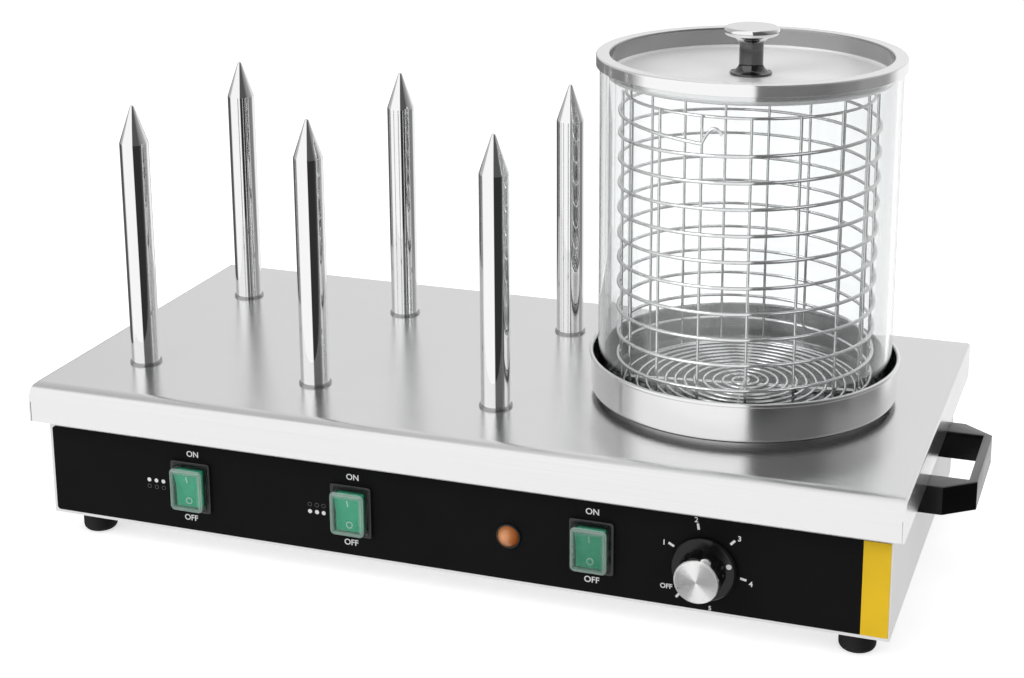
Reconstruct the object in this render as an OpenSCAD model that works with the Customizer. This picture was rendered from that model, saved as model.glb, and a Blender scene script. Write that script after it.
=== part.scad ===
// Countertop hot dog warmer: heated bun spikes beside a glass steamer, on one low steel case.
// Millimetres. The origin is on the table under the middle of the machine, X runs to the right
// along the front, Y to the back and Z up.

/* [Case] */
// Width of the case across its side panels
body_w = 596; // [576:2:640]
// Depth of the case across its front and rear panels
body_d = 280; // [264:2:310]
// Height from the underside of the case to the top of the cover
body_h = 99; // [95:1:115]
// Thickness of the case panels
sheet_t = 1; // [0.8:0.1:1.5]
// Width of the flange turned in along the bottom of each panel
flange_w = 12; // [10:1:15]
// Distance of the corner base screws from the case corner, along the front
base_screw_inset = 60; // [45:5:90]
// Thread diameter of the base screws
base_screw_d = 4; // [3:0.5:5]
// Length of each ventilation slot in the base plate
vent_l = 60; // [40:5:80]
// Width of each ventilation slot
vent_w = 4; // [3:0.5:6]
// Distance between ventilation slots
vent_pitch = 14; // [10:1:18]

/* [Cover] */
// Thickness of the cover sheet
cover_t = 1.2; // [1:0.1:1.6]
// Overhang of the cover past the front and rear panels
lip_reach = 12; // [9:1:15]
// Overhang of the cover past each side panel
side_reach = 8; // [6:1:10]
// Height of the turned-down lips
lip_h = 26.5; // [22:0.5:28]
// Outside radius of the front bend
front_bend = 12; // [8:0.5:14]
// Outside radius of the rear and side bends
edge_bend = 3; // [2.5:0.5:5]
// Width of the open seam between the front lip and each side lip
seam_w = 0.6; // [0.4:0.1:1]

/* [Feet] */
// Diameter of a rubber foot
foot_d = 24; // [20:1:28]
// Height of a rubber foot
foot_h = 18; // [14:1:24]
// Edge radius at the bottom of a foot
foot_edge = 4; // [2:0.5:5]
// Distance of a foot's middle from the side of the case
foot_inset_x = 23; // [20:1:40]
// Distance of a foot's middle from the front or rear of the case
foot_inset_y = 22; // [20:1:40]
// Thread diameter of a foot screw
foot_screw_d = 5; // [4:0.5:6]

/* [Handles] */
// Length of a handle along the side of the case
handle_l = 114; // [100:2:130]
// Reach of a handle out from the side of the case
handle_reach = 38; // [34:1:44]
// Height of a handle
handle_h = 20; // [16:1:24]
// Thickness of a handle's arms where they meet the case
handle_arm = 17; // [14:1:20]
// Thickness of a handle's grip bar
handle_bar = 5.5; // [5:0.5:8]
// Length of each sloping corner, along the side of the case
handle_slope_l = 16; // [10:1:20]
// Reach of each sloping corner, out from the case
handle_slope_reach = 20; // [14:1:20]
// Thread diameter of a handle screw
handle_screw_d = 4; // [3:0.5:5]

/* [Spikes] */
// Diameter of a bun spike
spike_d = 20.5; // [16:0.5:24]
// Height of a spike above the cover
spike_h = 190; // [160:2:220]
// Height of the pointed end
spike_cone = 27; // [20:1:36]
// Radius of the blunted tip
spike_tip_r = 1.6; // [1:0.1:3]
// Distance between spikes along a row
spike_pitch = 135; // [120:1:140]
// Distance between the two rows
spike_rows = 162; // [130:2:180]
// Distance of the first spike from the left side of the case
spike_inset = 46; // [40:1:60]
// Diameter of the threaded neck below a spike
spike_neck_d = 14; // [13:0.5:15]
// Length of the threaded neck
spike_neck_l = 14; // [10:1:18]
// Diameter of the cartridge heater inside a spike
heater_d = 10; // [8:0.5:11]
// Height of the thin collar round the foot of a spike
collar_h = 1.5; // [1:0.1:3]
// Width of that collar
collar_w = 1.2; // [0.8:0.1:2]

/* [Fascia] */
// Thickness of the control fascia
fascia_t = 0.8; // [0.5:0.1:1.2]
// Height of the control fascia
fascia_h = 63.5; // [58:0.5:66]
// Gap from the underside of the case to the fascia
fascia_base = 2.5; // [1:0.5:4]
// Gap from the left side of the case to the fascia
fascia_left = 2.5; // [1:0.5:6]
// Gap from the right side of the case to the accent strip
fascia_right = 1; // [0.5:0.5:4]
// Corner radius at the left end of the fascia
fascia_r = 2.5; // [1:0.5:5]
// Width of the accent strip at the right end
strip_w = 17; // [10:1:25]

/* [Switches] */
// Distance of the left switch from the left side of the case
switch_inset = 112.5; // [100:0.5:125]
// Distance from the left switch to the middle one
switch_step_1 = 121.5; // [100:0.5:130]
// Distance from the middle switch to the right one
switch_step_2 = 169.7; // [130:0.1:175]
// Height of the switch middles above the underside of the case
switch_z = 35.5; // [32:0.5:38]
// Width of the bezel's rim beside the switch housing
bezel_side = 1.5; // [1:0.1:3]
// Width of the bezel's rim above and below the switch housing
bezel_end = 2.4; // [1.5:0.1:4]
// Thickness of a switch bezel
bezel_t = 2; // [1.8:0.1:2.6]
// Width of a rocker
rocker_w = 19; // [16:0.5:19.5]
// Height of a rocker
rocker_h = 25.5; // [23:0.5:26]
// Tilt of a rocker either way from level, in degrees
rocker_tilt = 8; // [6:0.5:9]
// Diameter of a rocker's pivot pins
pivot_d = 3; // [2:0.2:3.2]
// Running clearance of the pivot pins, on the radius
pivot_gap = 0.06; // [0.02:0.01:0.1]
// Depth of a switch housing behind the fascia
housing_depth = 26; // [22:1:34]
// Wall of the clear splash boot
boot_t = 1.2; // [1:0.1:1.6]
// Room between the rocker's outer end and the splash boot
boot_room = 0.6; // [0.4:0.1:2]

/* [Pilot lamp] */
// Distance from the lamp to the right switch
lamp_step = 57.2; // [40:0.1:70]
// Height of the lamp above the underside of the case
lamp_z = 34; // [30:0.5:40]
// Diameter of the lamp lens
lamp_d = 14.8; // [12:0.2:16]
// Reach of the lens dome
lamp_dome = 6; // [4:0.5:7]

/* [Thermostat] */
// Distance from the right switch to the dial
dial_step = 74.6; // [60:0.1:85]
// Height of the dial above the underside of the case
dial_z = 31.8; // [28:0.1:38]
// Diameter of the knob skirt
skirt_d = 43; // [38:1:48]
// Thickness of the knob skirt
skirt_t = 4.2; // [3:0.2:6]
// Diameter of the knob grip
grip_d = 30; // [26:0.5:34]
// Diameter of the silver cap on the knob
cap_d = 29; // [24:0.5:30]
// Thickness of the silver cap
cap_t = 3.5; // [2:0.5:5]
// Reach of the knob in front of the fascia
knob_reach = 22; // [19:0.5:26]
// Number of finger flutes round the grip
flutes = 10; // [6:1:14]
// Diameter of the thermostat shaft
shaft_d = 6; // [5:0.2:7]
// Running clearance of the shaft, on the radius
shaft_gap = 0.06; // [0.02:0.01:0.1]
// Width and height of the thermostat body
thermostat_w = 40; // [34:1:46]
// Depth of the thermostat body
thermostat_depth = 30; // [26:1:40]

/* [Steamer] */
// Distance of the steamer's middle from the right side of the case
steamer_inset = 128; // [120:1:140]
// Outer diameter of the glass cylinder
glass_d = 200; // [180:1:210]
// Wall of the glass cylinder
glass_t = 4; // [3:0.2:5]
// Height of the glass cylinder
glass_h = 232; // [220:1:260]
// Room between the glass cylinder and the wall of the water pan
pan_room = 3.5; // [2:0.1:6]
// Height of the water pan rim above the cover
pan_rim_h = 31; // [26:0.5:40]
// Sheet thickness of the water pan
pan_t = 1; // [0.8:0.1:1.4]
// Radius of the bend between the pan's floor and wall
pan_bend = 3.6; // [2.5:0.1:4]
// Radius of the rolled bead round the pan rim
pan_bead = 1.5; // [1.2:0.1:2]
// Height of the seat ring under the pan
seat_h = 3; // [2:0.5:6]
// Distance of the seat ring in from the pan wall
seat_inset = 7.5; // [5:0.5:12]
// Width of the seat ring
seat_w = 9; // [6:0.5:12]
// Diameter of the boiler heater under the pan
boiler_d = 140; // [120:2:160]
// Thickness of the boiler heater
boiler_t = 8; // [6:0.5:8]

/* [Lid] */
// Room between the glass cylinder and the lid's band
lid_room = 1.3; // [0.6:0.1:3]
// Sheet thickness of the lid
lid_t = 1.2; // [1:0.1:1.6]
// Height of the band that hangs round the glass
lid_band = 8; // [6:0.5:12]
// Room between the glass cylinder and the sunk middle of the lid
recess_room = 1.6; // [0.6:0.1:5]
// Depth of the sunk middle
recess_depth = 14; // [10:0.5:16]
// Diameter of the lid knob's head
lid_knob_d = 37; // [30:0.5:42]
// Height of the lid knob
lid_knob_h = 32; // [26:0.5:38]
// Diameter of the lid knob's stem
lid_stem_d = 16; // [12:0.5:18]
// Diameter of the lid knob's foot
lid_foot_d = 28; // [24:0.5:32]

/* [Basket] */
// Room between the glass cylinder and the wound side wire
basket_room = 7.5; // [4:0.1:12]
// Room between the basket's rim and the lid
basket_headroom = 9.2; // [5:0.1:20]
// Diameter of the wound side wire
coil_wire = 2.4; // [1.8:0.1:2.6]
// Number of turns of the side wire
coil_turns = 11; // [8:1:12]
// Height of the side wire's lower end above the floor bars
coil_base = 7.6; // [4:0.1:20]
// Depth of the side wire's upper end below the rim
coil_drop = 7; // [4:0.1:20]
// Direction of the side wire's ends, in degrees from the right
coil_start = -97; // [-180:1:180]
// Diameter of the upright wires
upright_wire = 2; // [1.6:0.1:2.4]
// Number of upright wires
uprights = 17; // [12:1:20]
// Diameter of the wire of the spiral floor
floor_wire = 2.2; // [1.6:0.1:2.6]
// Distance between turns of the spiral floor
floor_pitch = 6.6; // [5.6:0.1:8]
// Radius where the spiral floor starts
floor_start = 3.6; // [3:0.1:5]
// Room between the spiral floor and the base ring
floor_room = 1; // [0.5:0.1:6]
// Diameter of the bars under the spiral floor
bar_wire = 3; // [2.4:0.1:3.6]

/* [Rear] */
// Distance of the cable gland from the left side of the case
gland_x = 70; // [50:1:100]
// Height of the cable gland above the underside of the case
gland_z = 42; // [36:1:50]
// Diameter of the cable hole through the gland
gland_bore = 8.4; // [6:0.2:10]

/* [Hidden] */
$fn = 64;
// Overshoot of a cut past the face it opens
cut = 1;
// Gap between a loose piece and what it rests on
rest_gap = 0.3;
// Gap between wires that are welded side by side
weld_gap = 0.1;
// Gap round a screw or stud in its hole
hole_gap = 0.1;

// Levels and faces of the case
cover_z = foot_h + body_h;
base_top = foot_h + sheet_t;
cover_under = cover_z - cover_t;
lip_z = cover_z - lip_h;
front_y = -body_d / 2;
left_x = -body_w / 2;
inner_w = body_w - 2 * sheet_t;
inner_d = body_d - 2 * sheet_t;
fascia_y = front_y - fascia_t;
fascia_z = foot_h + fascia_base;
fascia_w = body_w - fascia_left - fascia_right - strip_w;
front_stack = fascia_t + sheet_t;
foot_x = body_w / 2 - foot_inset_x;
foot_y = body_d / 2 - foot_inset_y;
corners = [for (x = [-1, 1], y = [-1, 1]) [x * foot_x, y * foot_y]];

// Screws up through the base plate into the panel flanges
screw_y = inner_d / 2 - flange_w / 2;
screw_x = inner_w / 2 - flange_w / 2;
screw_run = body_w / 2 - base_screw_inset;
screw_side = inner_d / 4;
base_screw_at = [for (x = [-screw_run, 0, screw_run], y = [-screw_y, screw_y]) [x, y],
    for (x = [-screw_x, screw_x], y = [-screw_side, screw_side]) [x, y]];
screw_head_h = 2;

// Handles
handle_top = lip_z - 0.5;
handle_hole_y = handle_l / 2 - handle_arm / 2;
handle_hole_l = 18;

// Spikes
spike_x = [for (i = [0:2]) left_x + spike_inset + i * spike_pitch];
spike_y = [-spike_rows / 2, spike_rows / 2];
spike_at = [for (y = spike_y, x = spike_x) [x, y]];
spike_slope = atan(spike_d / 2 / spike_cone);
spike_bore_l = spike_h - spike_cone - 10;
spike_nut_t = 6;
heater_out = 6;

// Places along the fascia, from the left side of the case
switch_x = [switch_inset, switch_inset + switch_step_1, switch_inset + switch_step_1 + switch_step_2];
lamp_x = switch_x[2] - lamp_step;
dial_x = switch_x[2] + dial_step;

// Switches: the housing, the well that the rocker tips in and the boot over it
well_w = rocker_w + 1;
pivot_out = 0.2;
rocker_mid = 4.5;
rocker_back = 2;
rocker_end = rocker_mid + rocker_h / 2 * tan(rocker_tilt);
tip_half = rocker_h / 2 * cos(rocker_tilt) + rocker_end * sin(rocker_tilt);
well_h = 2 * (tip_half + 0.4);
well_depth = 10;
pin_l = 1.5;
housing_w = well_w + 7;
housing_h = well_h + 4.2;
bezel_w = housing_w + 2 * bezel_side;
bezel_h = housing_h + 2 * bezel_end;
rocker_reach = pivot_out + rocker_h / 2 * sin(rocker_tilt) + rocker_end * cos(rocker_tilt);
boot_reach = rocker_reach - bezel_t + boot_room + boot_t;
cutout_gap = 0.2;
boot_in_w = well_w + 2.2;
boot_in_h = well_h + 0.6;
boot_r = 3.5;
boot_flange = 1;
boot_step = 1;
blade = [0.8, 6.3, 9];

// Pilot lamp
lamp_collar_t = 1.2;
lamp_neck_d = lamp_d - 2.2;
lamp_ball = (pow(lamp_d / 2, 2) + pow(lamp_dome, 2)) / (2 * lamp_dome);
lamp_nut_t = 4;

// Knob: skirt, grip and cap along its axis, and the nub on the rim of the cap
bush_d = shaft_d + 4;
shaft_in = 14;
skirt_back = rest_gap;
skirt_front = skirt_back + skirt_t;
cap_back = knob_reach - cap_t;
shaft_out = cap_back - 3;
flute_d = 6;
flute_foot = 0.6;
nub_d = 7;
nub_angle = 67;

// Steamer radii, all taken from the glass cylinder
pan_d = glass_d + 2 * (pan_room + pan_t);
seat_d = pan_d - 2 * seat_inset;
lid_d = glass_d + 2 * (lid_room + lid_t);
recess_d = glass_d - 2 * (glass_t + recess_room + lid_t);
coil_r = glass_d / 2 - glass_t - basket_room - coil_wire / 2;

// Steamer levels
steamer_x = body_w / 2 - steamer_inset;
pan_z = cover_z + seat_h;
pan_floor = pan_z + pan_t;
pan_rim = cover_z + pan_rim_h;
glass_z = pan_floor + rest_gap;
lid_under = glass_z + glass_h + rest_gap;
lid_top = lid_under + lid_t;
lid_floor = lid_top - recess_depth;
boiler_hole = seat_d - 2 * seat_w;
boiler_z = pan_z - boiler_t;
clamp_t = 3;
clamp_w = 20;
clamp_stud_d = 5;
clamp_stud_x = boiler_hole / 2 + 8;
clamp_nut_t = 4;

// Wire paths: rings per turn and sides of a ring
turn_rings = 24;
wire_sides = 6;

// Basket levels
bar_z = pan_floor + rest_gap + bar_wire / 2;
bar_top = bar_z + bar_wire / 2 + weld_gap;
floor_z = bar_top + floor_wire / 2;
coil_inner = coil_r * cos(180 / turn_rings) - coil_wire / 2;
upright_r = coil_inner - weld_gap - upright_wire / 2;
ring_wire = upright_wire;
ring_r = upright_r - upright_wire / 2 - weld_gap - ring_wire / 2;
upright_top = lid_floor - lid_t - basket_headroom;
upright_h = upright_top - bar_top;
rim_z = upright_top - ring_wire / 2;
coil_top = rim_z - coil_drop;
coil_z = bar_top + coil_base;
coil_pitch = (coil_top - coil_z) / coil_turns;
floor_end = ring_r - ring_wire / 2 - floor_wire / 2 - floor_room;
floor_turns = (floor_end - floor_start) / floor_pitch;

// Rear gland, which stands as far out at the back as the knob does at the front
gland_reach = fascia_t + knob_reach;
gland_neck_d = gland_bore + 7.6;
gland_flange_d = gland_neck_d + 9;
gland_flange_t = 6;
gland_neck_l = 12;
gland_nut_t = 5;

// Terminal block on the base plate and the screw that holds the lid knob
block = [66, 22, 16];
block_ways = 5;
block_bore = 6;
block_from_gland = 60;
lid_screw_d = 5;
lid_screw_head = 3;
lid_screw_grip = 15;

// Points along the side coil and the spiral floor
coil_n = coil_turns * turn_rings;
coil_path = [for (i = [0:coil_n]) let (a = coil_start + 360 * i / turn_rings)
    [coil_r * cos(a), coil_r * sin(a), coil_z + coil_pitch * i / turn_rings]];
floor_n = round(floor_turns * turn_rings);
floor_path = [for (i = [0:floor_n]) let (a = 360 * i / turn_rings,
    r = floor_start + (floor_end - floor_start) * i / floor_n) [r * cos(a), r * sin(a), floor_z]];

// Least gap between one turn of a wire and the next, measured between the points of the path
function turn_gap(path, wire) = min([for (i = [0:len(path) - turn_rings - 2], k = [-1:1])
    norm(path[i] - path[max(0, i + turn_rings + k)])]) - wire;
echo(coil_gap = turn_gap(coil_path, coil_wire), floor_gap = turn_gap(floor_path, floor_wire));

function unit(v) = v / norm(v);
function heading(path, i) = unit(path[min(i + 1, len(path) - 1)] - path[max(i - 1, 0)]);

// One unbroken round wire along a path that stays near level
module wire(path, d) {
    n = len(path);
    points = [for (i = [0:n - 1]) let (t = heading(path, i), side = unit(cross(t, [0, 0, 1])),
        up = cross(side, t)) for (k = [0:wire_sides - 1]) let (a = 360 * k / wire_sides)
        path[i] + d / 2 * (cos(a) * side + sin(a) * up)];
    walls = [for (i = [0:n - 2], k = [0:wire_sides - 1])
        let (a = i * wire_sides + k, b = i * wire_sides + (k + 1) % wire_sides)
        each [[a, b, a + wire_sides], [b, b + wire_sides, a + wire_sides]]];
    last = (n - 1) * wire_sides;
    ends = [for (k = [1:wire_sides - 2]) each [[0, k + 1, k], [last, last + k, last + k + 1]]];
    polyhedron(points, concat(walls, ends));
}

// Flat outline with round corners, standing in the XY plane
module rounded(w, h, r) {
    square([w - 2 * r, h], center = true);
    square([w, h - 2 * r], center = true);
    for (x = [-1, 1], y = [-1, 1]) translate([x * (w / 2 - r), y * (h / 2 - r)]) circle(r);
}

// Flat-topped outline with its two upper corners rounded
module hood(half, top, bottom, r_low, r_high) {
    translate([-half + r_low, bottom]) square([2 * half - r_low - r_high, top - bottom]);
    translate([-half, bottom]) square([r_low, top - r_low - bottom]);
    translate([half - r_high, bottom]) square([r_high, top - r_high - bottom]);
    translate([-half + r_low, top - r_low]) circle(r_low);
    translate([half - r_high, top - r_high]) circle(r_high);
}

// Closed block with the cover's bends: large along the front, small at the rear and sides
module cover_block(inset, bottom) {
    half_w = body_w / 2 + side_reach - inset;
    half_d = body_d / 2 + lip_reach - inset;
    edge = edge_bend - inset;
    intersection() {
        rotate([90, 0, 90]) linear_extrude(2 * half_w, center = true)
            hood(half_d, cover_z - inset, bottom, front_bend - inset, edge);
        rotate([90, 0, 0]) linear_extrude(2 * half_d, center = true)
            hood(half_w, cover_z - inset, bottom, edge, edge);
    }
}

module hex(across, h) {
    cylinder(d = across / cos(30), h = h, $fn = 6);
}

// Places on the fascia face, with local Z towards the user
module on_fascia(x, z) {
    translate([left_x + x, fascia_y, foot_h + z]) rotate([90, 0, 0]) children();
}

module at_steamer(z = 0) {
    translate([steamer_x, 0, z]) children();
}

module base_screw_holes() {
    for (p = base_screw_at)
        translate([p[0], p[1], foot_h - cut])
            cylinder(d = base_screw_d + 2 * hole_gap, h = 2 * sheet_t + 2 * cut, $fn = 24);
}

module base_plate() {
    color("silver") difference() {
        translate([-inner_w / 2, -inner_d / 2, foot_h]) cube([inner_w, inner_d, sheet_t]);
        base_screw_holes();
        for (p = corners)
            translate([p[0], p[1], foot_h - cut])
                cylinder(d = foot_screw_d + 2 * hole_gap, h = sheet_t + 2 * cut, $fn = 24);
        for (side = [-1, 1], i = [-3:3])
            translate([side * body_w / 5 + i * vent_pitch, 0, foot_h + sheet_t / 2])
                linear_extrude(sheet_t + 2 * cut, center = true)
                    rounded(vent_w, vent_l, vent_w / 2 - 0.01);
    }
}

// Long panel with its bottom flange, facing the way that turn gives
module long_panel(turn) {
    rotate([0, 0, turn]) {
        translate([left_x, front_y, foot_h]) cube([body_w, sheet_t, cover_under - foot_h]);
        translate([-inner_w / 2, front_y + sheet_t, base_top]) cube([inner_w, flange_w, sheet_t]);
    }
}

module switch_cutouts() {
    for (x = switch_x)
        on_fascia(x, switch_z)
            cube([housing_w + 2 * cutout_gap, housing_h + 2 * cutout_gap, 4 * front_stack], center = true);
}

module lamp_cutout() {
    on_fascia(lamp_x, lamp_z)
        cylinder(d = lamp_neck_d + 2 * cutout_gap, h = 4 * front_stack, center = true);
}

module dial_cutout() {
    on_fascia(dial_x, dial_z)
        cylinder(d = bush_d + 2 * cutout_gap, h = 4 * front_stack, center = true);
}

module front_panel() {
    color("gainsboro") difference() {
        long_panel(0);
        base_screw_holes();
        switch_cutouts();
        lamp_cutout();
        dial_cutout();
    }
}

module rear_panel() {
    color("gainsboro") difference() {
        long_panel(180);
        base_screw_holes();
        translate([left_x + gland_x, body_d / 2, foot_h + gland_z]) rotate([90, 0, 0])
            cylinder(d = gland_neck_d + 2 * hole_gap, h = 4 * sheet_t, center = true);
    }
}

module side_panel(side) {
    color("gainsboro") difference() {
        union() {
            translate([side * (body_w - sheet_t) / 2, 0, (foot_h + cover_under) / 2])
                cube([sheet_t, inner_d, cover_under - foot_h], center = true);
            translate([side * (inner_w - flange_w) / 2, 0, base_top + sheet_t / 2])
                cube([flange_w, inner_d - 2 * flange_w - 2, sheet_t], center = true);
        }
        base_screw_holes();
        for (y = [-1, 1])
            translate([side * body_w / 2, y * handle_hole_y, handle_top - handle_h / 2])
                rotate([0, 90, 0])
                    cylinder(d = handle_screw_d + 2 * hole_gap, h = 4 * sheet_t, center = true, $fn = 24);
    }
}

module top_cover() {
    seam_x = body_w / 2 + side_reach - cover_t - seam_w / 2;
    seam_top = cover_z - front_bend;
    color("lightgray") difference() {
        cover_block(0, lip_z);
        cover_block(cover_t, lip_z - cut);
        for (p = spike_at)
            translate([p[0], p[1], cover_under - cut])
                cylinder(d = spike_neck_d + 2 * hole_gap, h = cover_t + 2 * cut);
        at_steamer(cover_under - cut) cylinder(d = boiler_hole, h = cover_t + 2 * cut);
        for (side = [-1, 1])
            translate([side * seam_x, front_y - lip_reach, (lip_z - cut + seam_top) / 2])
                cube([seam_w, 3 * cover_t, seam_top - lip_z + cut], center = true);
    }
}

module control_fascia() {
    color("#151517") difference() {
        translate([left_x + fascia_left, front_y, fascia_z]) rotate([90, 0, 0])
            linear_extrude(fascia_t) {
                translate([fascia_r, 0]) square([fascia_w - fascia_r, fascia_h]);
                translate([0, fascia_r]) square([fascia_r, fascia_h - 2 * fascia_r]);
                for (y = [fascia_r, fascia_h - fascia_r]) translate([fascia_r, y]) circle(fascia_r);
            }
        switch_cutouts();
        lamp_cutout();
        dial_cutout();
    }
}

module accent_strip() {
    color("#e2b82a")
        translate([body_w / 2 - fascia_right - strip_w, fascia_y, fascia_z])
            cube([strip_w, fascia_t, fascia_h]);
}

// U-shaped grip seen from above, its outer corners sloping in to the bar
module handle_outline() {
    half = handle_l / 2;
    slope_x = handle_reach - handle_slope_reach;
    difference() {
        polygon([[0, -half], [slope_x, -half], [handle_reach, -half + handle_slope_l],
            [handle_reach, half - handle_slope_l], [slope_x, half], [0, half]]);
        translate([-cut, -half + handle_arm])
            square([handle_reach - handle_bar + cut, handle_l - 2 * handle_arm]);
    }
}

module handle(side) {
    color("#141416") mirror([side < 0 ? 1 : 0, 0, 0]) difference() {
        translate([body_w / 2, 0, handle_top - handle_h]) linear_extrude(handle_h) handle_outline();
        for (y = [-1, 1])
            translate([body_w / 2 - cut, y * handle_hole_y, handle_top - handle_h / 2])
                rotate([0, 90, 0])
                    cylinder(d = handle_screw_d + 2 * hole_gap, h = handle_hole_l + cut, $fn = 24);
    }
}

module handle_screws() {
    head_h = 2.6;
    color("dimgray") for (side = [0, 1], y = [-1, 1])
        mirror([side, 0, 0])
            translate([inner_w / 2, y * handle_hole_y, handle_top - handle_h / 2]) rotate([0, 90, 0]) {
                translate([0, 0, -head_h]) cylinder(d = 2 * handle_screw_d, h = head_h, $fn = 24);
                cylinder(d = handle_screw_d, h = handle_hole_l - cut, $fn = 24);
            }
}

// Rubber foot with a rounded bottom edge and a well that hides its screw head
module foot() {
    head_d = 2 * foot_screw_d + 1;
    difference() {
        rotate_extrude() {
            translate([0, foot_edge]) square([foot_d / 2, foot_h - foot_edge]);
            square([foot_d / 2 - foot_edge, foot_edge + cut]);
            translate([foot_d / 2 - foot_edge, foot_edge]) circle(foot_edge);
        }
        translate([0, 0, -cut]) cylinder(d = head_d, h = foot_h / 2 + cut, $fn = 32);
        cylinder(d = foot_screw_d + 2 * hole_gap, h = foot_h + cut, $fn = 24);
    }
}

module feet() {
    color("#1b1b1b") for (p = corners) translate([p[0], p[1], 0]) foot();
}

module foot_fixings() {
    head_h = 3;
    nut_t = 4;
    shank_top = base_top + nut_t + 2;
    color("dimgray") for (p = corners) translate([p[0], p[1], 0]) {
        translate([0, 0, foot_h / 2 - head_h]) cylinder(d = 2 * foot_screw_d, h = head_h, $fn = 32);
        translate([0, 0, foot_h / 2]) cylinder(d = foot_screw_d, h = shank_top - foot_h / 2, $fn = 24);
        translate([0, 0, base_top]) difference() {
            hex(1.7 * foot_screw_d, nut_t);
            translate([0, 0, -cut])
                cylinder(d = foot_screw_d + 2 * hole_gap, h = nut_t + 2 * cut, $fn = 24);
        }
    }
}

module base_screws() {
    color("dimgray") for (p = base_screw_at) translate([p[0], p[1], foot_h]) {
        translate([0, 0, -screw_head_h]) cylinder(d = 2 * base_screw_d, h = screw_head_h, $fn = 24);
        cylinder(d = base_screw_d, h = 2 * sheet_t + 3, $fn = 24);
    }
}

// Hollow spike: threaded neck below the cover, plain shank and blunted point
module spike(column, row) {
    tip_z = spike_h - spike_tip_r;
    color("whitesmoke") translate([spike_x[column], spike_y[row], cover_z]) difference() {
        union() {
            rotate_extrude() polygon([[0, -spike_neck_l], [spike_neck_d / 2, -spike_neck_l],
                [spike_neck_d / 2, 0], [spike_d / 2, 0], [spike_d / 2, spike_h - spike_cone],
                [spike_tip_r * cos(spike_slope), tip_z + spike_tip_r * sin(spike_slope)],
                [0, tip_z + spike_tip_r * sin(spike_slope)]]);
            translate([0, 0, tip_z]) sphere(spike_tip_r, $fn = 32);
        }
        translate([0, 0, -spike_neck_l - cut])
            cylinder(d = heater_d + 2 * hole_gap, h = spike_bore_l + spike_neck_l + cut);
    }
}

module spike_collars() {
    inner = spike_d + hole_gap;
    color("gainsboro") for (p = spike_at) translate([p[0], p[1], cover_z]) difference() {
        cylinder(d = inner + 2 * collar_w, h = collar_h);
        translate([0, 0, -cut]) cylinder(d = inner, h = collar_h + 2 * cut);
    }
}

module spike_nuts() {
    color("silver") for (p = spike_at) translate([p[0], p[1], cover_under - spike_nut_t]) difference() {
        hex(spike_neck_d + 7, spike_nut_t);
        translate([0, 0, -cut]) cylinder(d = spike_neck_d + hole_gap, h = spike_nut_t + 2 * cut);
    }
}

// Cartridge heater with two lead pins below each spike
module spike_heaters() {
    foot_z = cover_z - spike_neck_l - heater_out;
    pin_h = 8;
    color("slategray") for (p = spike_at) translate([p[0], p[1], foot_z]) {
        cylinder(d = heater_d, h = spike_bore_l + spike_neck_l + heater_out - 1);
        for (x = [-1, 1]) translate([x * heater_d / 4, 0, -pin_h]) cylinder(d = 1.6, h = pin_h, $fn = 24);
    }
}

module switch_housing(i) {
    color("#1a1a1c") on_fascia(switch_x[i], switch_z) difference() {
        union() {
            linear_extrude(bezel_t) rounded(bezel_w, bezel_h, 2);
            translate([-housing_w / 2, -housing_h / 2, -housing_depth])
                cube([housing_w, housing_h, housing_depth + bezel_t / 2]);
        }
        translate([-well_w / 2, -well_h / 2, -well_depth]) cube([well_w, well_h, well_depth + bezel_t + cut]);
        translate([0, 0, pivot_out]) rotate([0, 90, 0])
            cylinder(d = pivot_d + 2 * pivot_gap, h = well_w + 2 * pin_l + 0.4, center = true, $fn = 32);
    }
}

// Rocker with a shallow valley across its middle, tipped to its off side
module rocker(i) {
    half = rocker_h / 2;
    color("#38a878") on_fascia(switch_x[i], switch_z)
        translate([0, 0, pivot_out]) rotate([rocker_tilt, 0, 0]) {
            rotate([90, 0, 90]) linear_extrude(rocker_w, center = true)
                polygon([[-half, -rocker_back], [half, -rocker_back], [half, rocker_end],
                    [0, rocker_mid], [-half, rocker_end]]);
            rotate([0, 90, 0])
                cylinder(d = pivot_d, h = well_w + 2 * pin_l, center = true, $fn = 32);
        }
}

// Clear flexible cover over a rocker, with a thin flange on the bezel
module boot(i) {
    out_w = boot_in_w + 2 * boot_t;
    out_h = boot_in_h + 2 * boot_t;
    color("#bfd8cc", 0.5) on_fascia(switch_x[i], switch_z) translate([0, 0, bezel_t]) difference() {
        union() {
            linear_extrude(boot_flange) rounded(bezel_w - 2, bezel_h - 2, boot_r);
            linear_extrude(boot_reach - boot_step) rounded(out_w, out_h, boot_r);
            linear_extrude(boot_reach)
                rounded(out_w - 2 * boot_step, out_h - 2 * boot_step, boot_r - boot_step);
        }
        translate([0, 0, -cut])
            linear_extrude(boot_reach - boot_t + cut) rounded(boot_in_w, boot_in_h, boot_r - boot_t);
    }
}

module switch_terminals() {
    color("goldenrod") for (x = switch_x) on_fascia(x, switch_z)
        for (u = [-1, 1], v = [-1, 1])
            translate([u * housing_w / 4, v * housing_h / 4, -housing_depth - blade[2] / 2])
                cube(blade, center = true);
}

module pilot_collar() {
    back = front_stack + lamp_nut_t + 8;
    color("#1a1a1c") on_fascia(lamp_x, lamp_z) {
        cylinder(d = lamp_d + 2.6, h = lamp_collar_t);
        translate([0, 0, -back]) cylinder(d = lamp_neck_d, h = back);
    }
}

module pilot_lens() {
    color("#d0702c") on_fascia(lamp_x, lamp_z) translate([0, 0, lamp_collar_t])
        rotate_extrude() intersection() {
            translate([0, lamp_dome - lamp_ball]) circle(lamp_ball);
            square([lamp_ball, 2 * lamp_ball]);
        }
}

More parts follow.
